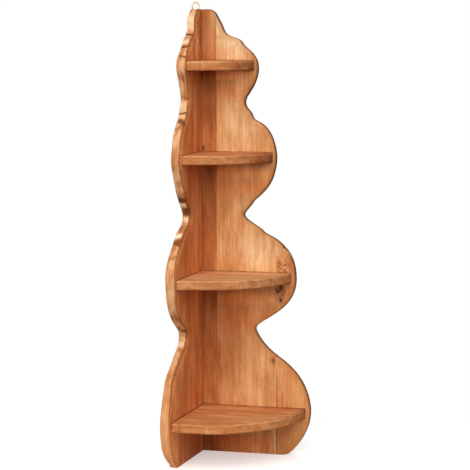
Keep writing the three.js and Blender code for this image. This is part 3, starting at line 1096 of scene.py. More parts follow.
@dataclass(frozen=True)
class MetalFinish:
    """Plain metal with fine scratches and slow changes of tone.

    Fields:
        name: The material's name.
        colour: The clean metal.
        dull: The colour where it has dulled.
        polish: Roughness of the clean metal.
    """

    name: str
    colour: Colour
    dull: Colour
    polish: float

    def material(self) -> bpy.types.Material:
        """Builds the material."""
        made, bench, shader = new_material(self.name)
        place = bench.add("ShaderNodeTexCoord").outputs["Object"]
        cloud = bench.spread(bench.noise(place, (260, 260, 260), 3.0, 0.6), 0.35, 0.7)
        scratch = bench.noise(place, (2500, 2500, 300), 2.0, 0.6)
        bench.feed(shader.inputs["Base Color"], bench.mix(cloud, self.colour, self.dull))
        bench.feed(shader.inputs["Roughness"],
                   bench.spread(scratch, 0.3, 0.7, self.polish, self.polish + 0.14))
        shader.inputs["Metallic"].default_value = 1.0
        bench.feed(shader.inputs["Normal"], bench.bump(scratch, 0.15, 0.05 * MILLIMETRE))
        return made


def new_material(name: str) -> tuple[bpy.types.Material, Bench, bpy.types.Node]:
    """A material with only its output and a principled shader.

    Args:
        name: Its name.

    Returns:
        The material, the bench for its tree, and the shader node.
    """
    made = bpy.data.materials.new(name)
    made.use_nodes = True
    made.node_tree.nodes.clear()
    bench = Bench(made.node_tree)
    shader = bench.add("ShaderNodeBsdfPrincipled")
    bench.feed(bench.add("ShaderNodeOutputMaterial").inputs["Surface"], shader.outputs["BSDF"])
    return made, bench, shader


# The unit's parts


@dataclass(frozen=True)
class Chip:
    """A nick across a free edge.

    Fields:
        row: Where along the edge it is.
        drop: How deep it goes; below zero it is a lump.
        run: How far it reaches to either side.
        stain: How dark it is, partly dirt and partly painted shade in the nick; below zero it is paler, partly
            wear and partly a painted highlight.
        stain_run: How far the stain reaches to either side.
        slant: How much further along it lies at the back than at the face.
        near: Its strength at the face.
        far: Its strength at the back.
    """

    row: float
    drop: float
    run: float
    stain: float
    stain_run: float
    slant: float = 0.0
    near: float = 1.0
    far: float = 1.0

    def bell(self, rows: np.ndarray, through: np.ndarray, run: float) -> np.ndarray:
        """The chip's strength at any place: a flat-topped bell over the rows round its slanting middle line,
        the exponential of minus the fourth power, which grows or fades evenly from the face to the back."""
        middle = self.row + self.slant * (through - 0.5)
        return np.exp(-((rows - middle) / run) ** 4) * (self.near + (self.far - self.near) * through)


def chipped(chips: tuple[Chip, ...], thickness: float, hand: Wobble) -> Wobble:
    """How far an edge departs from its outline: the unevenness of the hand less all chips.

    Args:
        chips: The nicks.
        thickness: The plate's thickness.
        hand: The unevenness over rows and depth.

    Returns:
        The function of row and depth.
    """

    def departure(rows: np.ndarray, depth: np.ndarray) -> np.ndarray:
        """The unevenness less all chips, at rows and depths."""
        lowered = (chip.drop * chip.bell(rows, depth / thickness, chip.run) for chip in chips)
        return hand(rows, depth) - sum(lowered, np.zeros_like(rows))

    return departure


@dataclass(frozen=True)
class Corner:
    """The inner corner line of the unit, the panels' thickness and their height, read from the frame."""

    x: float
    y: float
    thickness: float
    height: float

    @classmethod
    def from_frame(cls) -> "Corner":
        """Reads the corner off the two inner boards."""
        left_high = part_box("left_panel_inner_board")[1]
        right_low, right_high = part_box("right_panel_inner_board")
        return cls(left_high.x, right_low.y, right_high.y - right_low.y, right_high.z)


def set_attributes(piece: bpy.types.Object, plate: Plate, chips: tuple[Chip, ...]) -> None:
    """Stores on each vertex how far it lies from the free edge, how far through the board, and the tone of its
    chips, partly stain and wear and partly painted shade and highlight.

    The turn is the depth as a share of the near arris there, so it passes 1 where the arris ends. A chip's
    stain is its strength times its bell over the stain's run, and fades into the face.

    Args:
        piece: The finished board.
        plate: The plate that it was cut from.
        chips: The nicks in the plate's free edge.
    """
    mesh, outline, thickness = piece.data, plate.outline, plate.edge.thickness
    reach, depth, row = plate.axes.read(vertex_places(mesh))
    rim = outline.rim(reach, row)
    turn = np.clip(depth / np.interp(row, outline.rows, plate.edge.near), 0, 3)
    near_rim = 1 - smoothstep(rim, 2 * MILLIMETRE, 9 * MILLIMETRE)
    near_rim = near_rim * (0.4 + 0.6 * smoothstep(turn, 0.4, 0.9))
    stains = (chip.stain * chip.bell(row, depth / thickness, chip.stain_run) for chip in chips)
    stain = sum(stains, np.zeros_like(row)) * near_rim
    for name, values in (("rim", rim), ("through", depth / thickness), ("turn", turn),
                         ("mark", np.clip(stain, -1, 1))):
        layer = mesh.attributes.new(name, "FLOAT", "POINT")
        layer.data.foreach_set("value", values.astype(np.float32))


def slot_of(node: str) -> str:
    """The material slot that the record gives a node."""
    return next(part["material_slot"] for part in frame["record"]["subparts"] if part["node"] == node)


def finish_piece(piece: bpy.types.Object, material: bpy.types.Material, slot: str, *nodes: str) -> None:
    """Dresses a piece, hangs it on the body and hides the CAD nodes that it stands for.

    Args:
        piece: The piece.
        material: Its material.
        slot: The record's slot that the material belongs to; not used.
        nodes: The CAD nodes that it replaces.
    """
    piece.data.materials.clear()
    piece.data.materials.append(material)
    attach(piece, BODY)
    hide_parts(*nodes)
    LOG.info("%s: %d faces", piece.name, len(piece.data.polygons))


@dataclass(kw_only=True)
class Glued:
    """What panels and shelves share: a plate with a free edge, glued up from boards.

    Fields:
        name: What its nodes' names begin with.
        axes: Where it lies.
        thickness: Its thickness.
        boards: The rest of its nodes' names, from the corner outwards.
        seed: Chooses the unevenness of its free edge.
        chips: The nicks in its free edge.
    """

    name: str
    axes: Axes
    thickness: float
    boards: tuple[str, ...]
    seed: int
    chips: tuple[Chip, ...] = ()

    SPARE = 5 * MILLIMETRE

    def nodes(self) -> list[str]:
        """The full names of its nodes."""
        return [f"{self.name}_{board}" for board in self.boards]

    def plate(self) -> Plate:
        """The whole plate before it is cut into boards."""
        raise NotImplementedError

    def room(self, node: str) -> tuple[np.ndarray, np.ndarray]:
        """The box of a board, widened past every side but its glue joints."""
        raise NotImplementedError

    def departure(self, size: float, wavelength: float) -> Wobble:
        """How far its free edge departs from the outline.

        Args:
            size: The scale of the unevenness of the hand.
            wavelength: The middle one of its wave lengths.
        """
        return chipped(self.chips, self.thickness, unevenness(self.seed, size, wavelength))

    def build(self, finishes: dict[str, bpy.types.Material], cutters: list[bpy.types.Object]) -> None:
        """Makes the whole plate, cuts it into its boards and dresses them.

        Args:
            finishes: Materials by node name.
            cutters: What is taken away from every board.
        """
        plate = self.plate()
        whole = plate.build()
        for node in self.nodes():
            board = whole.copy()
            board.data = whole.data.copy()
            board.name = f"{node}_wood"
            bpy.context.scene.collection.objects.link(board)
            room = block("board_room", *self.room(node))
            cut(board, room, Cut.KEEP_INSIDE)
            for cutter in cutters:
                cut(board, cutter, Cut.TAKE_AWAY)
            discard(room)
            set_attributes(board, plate, self.chips)
            finish_piece(board, finishes[node], slot_of(node), node)
        discard(whole)


@dataclass(kw_only=True)
class Panel(Glued):
    """One wavy-edged side panel.

    Fields:
        back: The reach of its straight back edge.
        arris: Radius of the rounded inner arris by height, as pairs of height and radius.
        back_arris: Radius of the outer arris by height.
        easing: The rounding of the CAD plate's edges.
    """

    back: float
    arris: tuple[tuple[float, float], ...]
    back_arris: tuple[tuple[float, float], ...]
    easing: float = 4 * MILLIMETRE

    def plate(self) -> Plate:
        """The whole panel before it is cut into boards."""
        outline = Outline.from_frame(self.nodes(), self.axes, self.easing, self.thickness)
        near, far = (np.interp(outline.rows, *np.array(radii).T) for radii in (self.arris, self.back_arris))
        return Plate(
            name=f"{self.name}_whole",
            axes=self.axes,
            outline=outline,
            edge=EdgeShape(near, far, self.thickness),
            back=self.back,
            columns=12,
            wobble=self.departure(0.25 * MILLIMETRE, 70 * MILLIMETRE),
        )

    def room(self, node: str) -> tuple[np.ndarray, np.ndarray]:
        """The box of a board, widened past every side but its glue joints."""
        low, high = (np.array(corner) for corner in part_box(node))
        reach = self.axes.read(np.array([low, high]))[0]
        start, stop = reach.min(), reach.max()
        starts_at_joint = abs(start - self.back) > MILLIMETRE
        stops_at_joint = "outer" not in node
        start -= 0 if starts_at_joint else self.SPARE
        stop += 0 if stops_at_joint else self.SPARE
        rows = (low[2] - self.SPARE, high[2] + self.SPARE)
        depth = (-self.SPARE, self.thickness + self.SPARE)
        corners = self.axes.place(np.array([start, stop]), np.array(depth), np.array(rows))
        return corners[0], corners[1]


@dataclass(kw_only=True)
class Shelf(Glued):
    """One shelf with a rounded front, of one or two boards. Its rows run along the right panel.

    Fields:
        top_arris: Radius of the front's upper arris, as pairs of the share of the front and radius.
        bottom_arris: Radius of the lower arris.
        easing: The rounding of the CAD plate's edges.
    """

    top_arris: tuple[tuple[float, float], ...]
    bottom_arris: float
    easing: float = 2.5 * MILLIMETRE

    def plate(self) -> Plate:
        """The whole shelf before it is cut into boards."""
        outline = Outline.from_frame(self.nodes(), self.axes, self.easing, self.thickness)
        shares, radii = np.array(self.top_arris).T
        near = np.interp(outline.rows / outline.rows[-1], shares, radii)
        return Plate(
            name=f"{self.name}_whole",
            axes=self.axes,
            outline=outline,
            edge=EdgeShape(near, np.full_like(near, self.bottom_arris), self.thickness),
            back=0.0,
            columns=10,
            wobble=self.departure(0.2 * MILLIMETRE, 80 * MILLIMETRE),
            closing=-20 * MILLIMETRE,
            end_run=15 * MILLIMETRE,
        )

    def room(self, node: str) -> tuple[np.ndarray, np.ndarray]:
        """The box of a board, widened past every side but its glue joint."""
        low, high = (np.array(corner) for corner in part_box(node))
        low[[0, 2]] -= self.SPARE
        high[[0, 2]] += self.SPARE
        if node.endswith(("front_board", "shelf_board")):
            low[1] -= self.SPARE
        if not node.endswith("front_board"):
            high[1] += self.SPARE
        return low, high


@dataclass(frozen=True)
class ScrewKind:
    """The sizes of a countersunk wood screw with a cross recess.

    Fields:
        length: From the head's face to the tip.
        shank: Diameter of the thread.
        head: Diameter of the head.
        head_depth: Height of the head's cone.
        tip: Length of the pointed end.
        recess: Length of each arm of the cross.
        slot: Width of an arm.
        sink: Depth of the cross.
        pitch: Distance between turns of the thread.
        around: Points round it.
    """

    length: float
    shank: float
    head: float
    head_depth: float
    tip: float
    recess: float
    slot: float
    sink: float
    pitch: float
    around: int = 40

    RIM = 0.15 * MILLIMETRE
    CLEARANCE = 0.3 * MILLIMETRE
    PLAIN_SHARE = 0.4
    CORE_SHARE = 0.68

    def surface(self) -> np.ndarray:
        """The screw's surface with its head at height 0, as points around by along by three coordinates.

        Over the head's face the radius grows evenly and the height is 0 less the cross. Below it come the
        cone, the plain shank, the thread, whose radius rises from the core by the square of a cosine of the
        height in pitches plus the angle in turns, and the tip, where everything shrinks evenly to a point.

        Returns:
            The points.
        """
        angle = np.linspace(0, math.tau, self.around, endpoint=False)[:, None]
        face = np.linspace(0, self.head / 2 - self.RIM, 12)[None, :]
        across, up = face * np.cos(angle), face * np.sin(angle)
        cross = np.maximum(self._arm(across, up), self._arm(up, across))
        sunk = -self.sink * cross * (1 - 0.4 * (2 * face / self.recess) ** 2)
        plain_end = self.PLAIN_SHARE * self.length
        cone = np.array([self.RIM, 0.5 * self.head_depth, self.head_depth, plain_end])
        cone_radius = np.array([self.head / 2, (self.head + self.shank) / 4, self.shank / 2, self.shank / 2])
        turns = int((self.length - plain_end) / self.pitch)
        below = np.linspace(plain_end, self.length, turns * 5 + 1)[1:]
        core = self.CORE_SHARE * self.shank / 2
        taper = np.clip((self.length - below) / self.tip, 0, 1)
        ridge = np.cos(math.pi * below / self.pitch + angle / 2) ** 2
        thread = (core + (self.shank / 2 - core) * ridge) * taper
        radius = np.concatenate([face + 0 * angle, cone_radius + 0 * angle, thread], axis=1)
        height = np.concatenate([sunk, -cone + 0 * angle, -below + 0 * angle], axis=1)
        return np.stack([radius * np.cos(angle), radius * np.sin(angle), height], axis=-1)

    def _arm(self, along: np.ndarray, beside: np.ndarray) -> np.ndarray:
        """1 inside one arm of the cross and 0 outside it, with soft walls."""
        narrow = 1 - smoothstep(np.abs(beside), 0.35 * self.slot, 0.65 * self.slot)
        return narrow * (1 - smoothstep(np.abs(along), 0.42 * self.recess, 0.5 * self.recess))

    def hole(self) -> np.ndarray:
        """The surface of the hole that the screw goes in, wider all round and open past the head."""
        angle = np.linspace(0, math.tau, 20, endpoint=False)[:, None]
        wide = self.head / 2 + self.CLEARANCE
        narrow = self.shank / 2 + self.CLEARANCE
        above = 2 * self.head_depth
        radius = np.array([0, wide, wide, narrow, narrow, 0])
        height = np.array([above, above, -self.CLEARANCE, -self.head_depth, self.tip - self.length,
                           -self.length - self.CLEARANCE])
        return np.stack([radius * np.cos(angle), radius * np.sin(angle), height + 0 * angle], axis=-1)


WOOD_SCREW = ScrewKind(length=0.06, shank=0.0045, head=0.009, head_depth=0.003, tip=0.008, recess=0.005,
                       slot=0.0013, sink=0.0024, pitch=0.0026)
BRASS_SCREW = ScrewKind(length=0.02, shank=0.0032, head=0.0064, head_depth=0.002, tip=0.005, recess=0.0036,
                        slot=0.001, sink=0.0012, pitch=0.0014)


def facing_axes(node: str, facing: tuple[float, float, float]) -> Axes:
    """Axes with the third one facing out of the node, and the origin in the middle of its outermost face.

    Args:
        node: The CAD node.
        facing: The level way that it faces.

    Returns:
        The axes, with the first one level and the second one upright.
    """
    across = (-facing[1], facing[0], 0.0)
    points = node_points(node)
    ways = np.array([across, (0, 0, 1), facing])
    places = points @ ways.T
    low, high = places.min(axis=0), places.max(axis=0)
    middle = np.array([(low[0] + high[0]) / 2, (low[1] + high[1]) / 2, high[2]]) @ ways
    return Axes(tuple(middle), across, (0, 0, 1), facing)


@dataclass
class Screws:
    """Every screw of the unit, and the holes that they leave in the wood."""

    BACKWARD = (-math.sqrt(0.5), math.sqrt(0.5), 0.0)

    def places(self) -> list[tuple[str, ScrewKind, Axes]]:
        """Each screw's node, its kind and its axes."""
        found = []
        for node in sorted(name for name in frame["nodes"] if "screw" in name):
            if node.startswith("loop_plate"):
                kind, facing = BRASS_SCREW, self.BACKWARD
            else:
                kind, facing = WOOD_SCREW, ((-1.0, 0.0, 0.0) if "_left_" in node else (0.0, 1.0, 0.0))
            found.append((node, kind, facing_axes(node, facing)))
        return found

    def build(self, brass: bpy.types.Material, zinc: bpy.types.Material) -> None:
        """Makes each screw and dresses it.

        Args:
            brass: For the plate's screws.
            zinc: For the wood screws.
        """
        for node, kind, axes in self.places():
            surface = kind.surface()
            points = axes.place(*np.moveaxis(surface, -1, 0)).reshape(-1, 3)
            piece = mesh_from(f"{node}_turned", points, wrapped_faces(*surface.shape[:2], closed=False))
            weld(piece)
            finish_piece(piece, brass if kind is BRASS_SCREW else zinc, slot_of(node), node)

    def holes(self) -> bpy.types.Object:
        """One body of all the holes, for cutting."""
        points, faces, count = [], [], 0
        for _, kind, axes in self.places():
            surface = kind.hole()
            points.append(axes.place(*np.moveaxis(surface, -1, 0)).reshape(-1, 3))
            faces.append(wrapped_faces(*surface.shape[:2], closed=False) + count)
            count += len(points[-1])
        body = mesh_from("screw_holes", np.concatenate(points), np.concatenate(faces))
        weld(body)
        return body


@dataclass
class LoopPlate:
    """The brass plate on the back corner: a ring above the wood and a strap with two screws below it.

    Fields:
        node: Its CAD node.
        outer_radius: Of the ring.
        hole_radius: Of the ring's hole.
        strap: Width of the strap.
        bead: Rounding of every edge.
        flat_width: Width of the flat planed on the corner for the strap.
        flat_height: How far down that flat reaches.
    """

    node: str = "loop_plate"
    outer_radius: float = 15 * MILLIMETRE
    hole_radius: float = 9.5 * MILLIMETRE
    strap: float = 13 * MILLIMETRE
    bead: float = 0.8 * MILLIMETRE
    flat_width: float = 14 * MILLIMETRE
    flat_height: float = 62 * MILLIMETRE

    def outline(self, strap_end: float, count: int = 240) -> np.ndarray:
        """The plate's outer line, evenly spaced, anticlockwise from the right foot of the ring.

        It is the ring's arc over the top, a straight side down, a half circle round the strap's end, and a
        straight side up again.

        Args:
            strap_end: Height of the middle of the strap's round end, below the ring's middle.
            count: How many points.

        Returns:
            The points, across and up.
        """
        half = self.strap / 2
        neck = -math.asin(math.sqrt(1 - (half / self.outer_radius) ** 2))
        arc = np.linspace(neck, math.pi - neck, 400)
        end = np.linspace(math.pi, math.tau, 100)
        over = self.outer_radius * np.stack([np.cos(arc), np.sin(arc)], axis=-1)
        under = np.array([0, strap_end]) + half * np.stack([np.cos(end), np.sin(end)], axis=-1)
        line = np.concatenate([over, under, over[:1]])
        length = np.concatenate([[0], np.cumsum(np.hypot(*np.diff(line, axis=0).T))])
        even = np.linspace(0, length[-1], count, endpoint=False)
        return np.stack([np.interp(even, length, line[:, axis]) for axis in (0, 1)], axis=-1)

    def build(self, brass: bpy.types.Material, holes: bpy.types.Object) -> None:
        """Makes the plate and dresses it.

        A rounded section is carried round between the hole and the outer line. Each section point lies at a
        share of the way from one to the other, drawn in by the bead's radius times 1 - sin a at either side,
        and its height is the bead's radius times 1 - cos a from either face.

        Args:
            brass: The material.
            holes: The body of the screw holes.
        """
        axes = facing_axes(self.node, Screws.BACKWARD)
        _, up, out = axes.read(node_points(self.node))
        thickness = out.max() - out.min()
        middle = up.max() - self.outer_radius
        outer = self.outline(up.min() + self.strap / 2 - middle)
        ahead, behind = np.roll(outer, -1, axis=0), np.roll(outer, 1, axis=0)
        normal = np.stack([(ahead - behind)[:, 1], (behind - ahead)[:, 0]], axis=-1)
        normal /= np.linalg.norm(normal, axis=1, keepdims=True)
        radial = outer / np.linalg.norm(outer, axis=1, keepdims=True)
        angle = np.linspace(0, math.pi / 2, 5)
        drawn = self.bead * (1 - np.sin(angle))
        rise = self.bead * (1 - np.cos(angle))
        none = np.zeros_like(angle)
        faces_share = np.array([0.33, 0.66])
        share = np.concatenate([none, none, faces_share, none + 1, none + 1, faces_share[::-1]])
        inset = np.concatenate([drawn, drawn[::-1], none[:2] + self.bead, drawn, drawn[::-1],
                                none[:2] + self.bead])
        height = np.concatenate([rise, (thickness - rise)[::-1], none[:2] + thickness, thickness - rise,
                                 rise[::-1], none[:2]])
        at_hole = radial[:, None] * (self.hole_radius + inset)[None, :, None]
        at_edge = outer[:, None] - normal[:, None] * inset[None, :, None]
        flat = at_hole * (1 - share)[None, :, None] + at_edge * share[None, :, None]
        across, above = flat[..., 0], flat[..., 1] + middle
        points = axes.place(across, above, np.broadcast_to(height - thickness, across.shape))
        piece = mesh_from("loop_plate_stamped", points.reshape(-1, 3),
                          wrapped_faces(len(outer), len(share), closed=True))
        weld(piece)
        cut(piece, holes, Cut.TAKE_AWAY)
        finish_piece(piece, brass, slot_of(self.node), self.node)

    def flat(self, corner: Corner) -> bpy.types.Object:
        """The body that planes the flat for the strap across the outer back corner.

        Args:
            corner: The unit's corner.

        Returns:
            The cutting body.
        """
        leg = self.flat_width / (2 * math.sqrt(2))
        origin = (corner.x - corner.thickness + leg, corner.y + corner.thickness - leg, corner.height)
        axes = Axes(origin, (math.sqrt(0.5), math.sqrt(0.5), 0.0), Screws.BACKWARD, (0, 0, 1))
        spare = 3 * self.flat_width
        return block("corner_flat", (-spare, 0, -self.flat_height), (spare, spare, spare), axes)


@dataclass
class Studio:
    """Plain pale floor, soft lights, white background and the camera.

    Fields:
        corner: The unit's corner.
        camera_offset: The camera's place, from the foot of the inner corner line.
        yaw: How far the camera is turned to the left.
        pitch: How far it looks up, or down where that is below zero.
        roll: How far it is tilted.
        lens: Its focal length in millimetres.
        sensor: The width of its sensor in millimetres.
        aim_height: The height above the middle of the floor that the lights face.
        floor_size: Side of the floor.
        pale_to: How far from the middle the floor is pale for the camera.
        white_from: From how far on it is plain white for the camera.
    """

    corner: Corner
    camera_offset: tuple[float, float, float] = (1.881, -6.156, 1.366)
    yaw: float = math.radians(16.062)
    pitch: float = math.radians(-5.99)
    roll: float = math.radians(0.125)
    lens: float = 156.95
    sensor: float = 36.0
    aim_height: float = 0.7
    floor_size: float = 14.0
    pale_to: float = 0.5
    white_from: float = 1.1

    def build(self) -> None:
        """Makes everything round the unit."""
        self.add_camera()
        self.add_floor()
        self.add_world()
        for name, place, size, power in (
            ("key", (0.8, -4.1, 3.3), 4.5, 240.0),
            ("fill", (-2.6, -4.4, 1.0), 2.4, 35.0),
            ("back", (-1.5, 3.8, 2.6), 3.0, 70.0),
        ):
            self.add_light(name, place, size, power)

    def add_camera(self) -> None:
        """The camera of the photograph: its place, its turn and its lens."""
        data = bpy.data.cameras.new("camera")
        data.lens = self.lens
        data.sensor_width = self.sensor
        camera = bpy.data.objects.new("camera", data)
        across, along, up = self.camera_offset
        camera.location = (self.corner.x + across, self.corner.y + along, up)
        camera.rotation_euler = (math.pi / 2 + self.pitch, self.roll, self.yaw)
        bpy.context.scene.collection.objects.link(camera)
        bpy.context.scene.camera = camera

    def add_light(self, name: str, place: tuple[float, float, float], size: float, power: float) -> None:
        """A square soft light that faces a point above the middle of the floor.

        Args:
            name: Its name.
            place: Where it hangs.
            size: Its side.
            power: Its power in watts.
        """
        data = bpy.data.lights.new(name, "AREA")
        data.size = size
        data.energy = power
        light = bpy.data.objects.new(name, data)
        light.location = place
        aim = Vector((0.0, 0.0, self.aim_height)) - Vector(place)
        light.rotation_euler = aim.to_track_quat("-Z", "Y").to_euler()
        bpy.context.scene.collection.objects.link(light)

    def add_floor(self) -> None:
        """A pale floor that keeps the unit's soft shadow and turns plain white for the camera further off."""
        half = self.floor_size / 2
        points = np.array([[-half, -half, 0], [half, -half, 0], [half, half, 0], [-half, half, 0]])
        floor = mesh_from("floor", points, np.array([[0, 1, 2, 3]]))
        made, bench, shader = new_material("pale floor")
        path = bench.add("ShaderNodeLightPath")
        seen = bench.math("MAXIMUM", path.outputs["Is Camera Ray"], path.outputs["Is Glossy Ray"])
        away = bench.vector("LENGTH", bench.add("ShaderNodeTexCoord").outputs["Object"])
        far = bench.spread(away, self.pale_to, self.white_from)
        bench.feed(shader.inputs["Base Color"], bench.mix(far, (0.85, 0.85, 0.85), (0.0, 0.0, 0.0)))
        shader.inputs["Roughness"].default_value = 0.9
        shader.inputs["Specular IOR Level"].default_value = 0.0
        shader.inputs["Emission Color"].default_value = (1.0, 1.0, 1.0, 1.0)
        bench.feed(shader.inputs["Emission Strength"],
                   bench.math("MULTIPLY", seen, bench.spread(far, 0.0, 1.0, 0.45, 1.0)))
        floor.data.materials.append(made)

    def add_world(self) -> None:
        """A white background for the camera and for reflections, and a soft even light otherwise."""
        world = bpy.data.worlds.new("studio")
        world.use_nodes = True
        world.node_tree.nodes.clear()
        bench = Bench(world.node_tree)
        path = bench.add("ShaderNodeLightPath")
        seen = bench.math("MAXIMUM", path.outputs["Is Camera Ray"], path.outputs["Is Glossy Ray"])
        background = bench.add("ShaderNodeBackground")
        background.inputs["Color"].default_value = (1.0, 1.0, 1.0, 1.0)
        bench.feed(background.inputs["Strength"], bench.spread(seen, 0.0, 1.0, 0.33, 1.0))
        output = bench.add("ShaderNodeOutputWorld")
        bench.feed(output.inputs["Surface"], background.outputs["Background"])
        bpy.context.scene.world = world


HONEY = {"light": (0.80, 0.44, 0.195), "deep": (0.66, 0.29, 0.10), "red": (0.52, 0.175, 0.05)}
BROWN = {"light": (0.63, 0.27, 0.097), "deep": (0.52, 0.18, 0.057), "red": (0.42, 0.12, 0.032)}
AMBER = {"light": (0.76, 0.39, 0.16), "deep": (0.64, 0.265, 0.09), "red": (0.51, 0.165, 0.046)}
UMBER = {"light": (0.84, 0.37, 0.142), "deep": (0.72, 0.255, 0.082), "red": (0.57, 0.16, 0.043)}
RUSSET = {"light": (0.82, 0.405, 0.168), "deep": (0.67, 0.273, 0.10), "red": (0.52, 0.178, 0.057)}


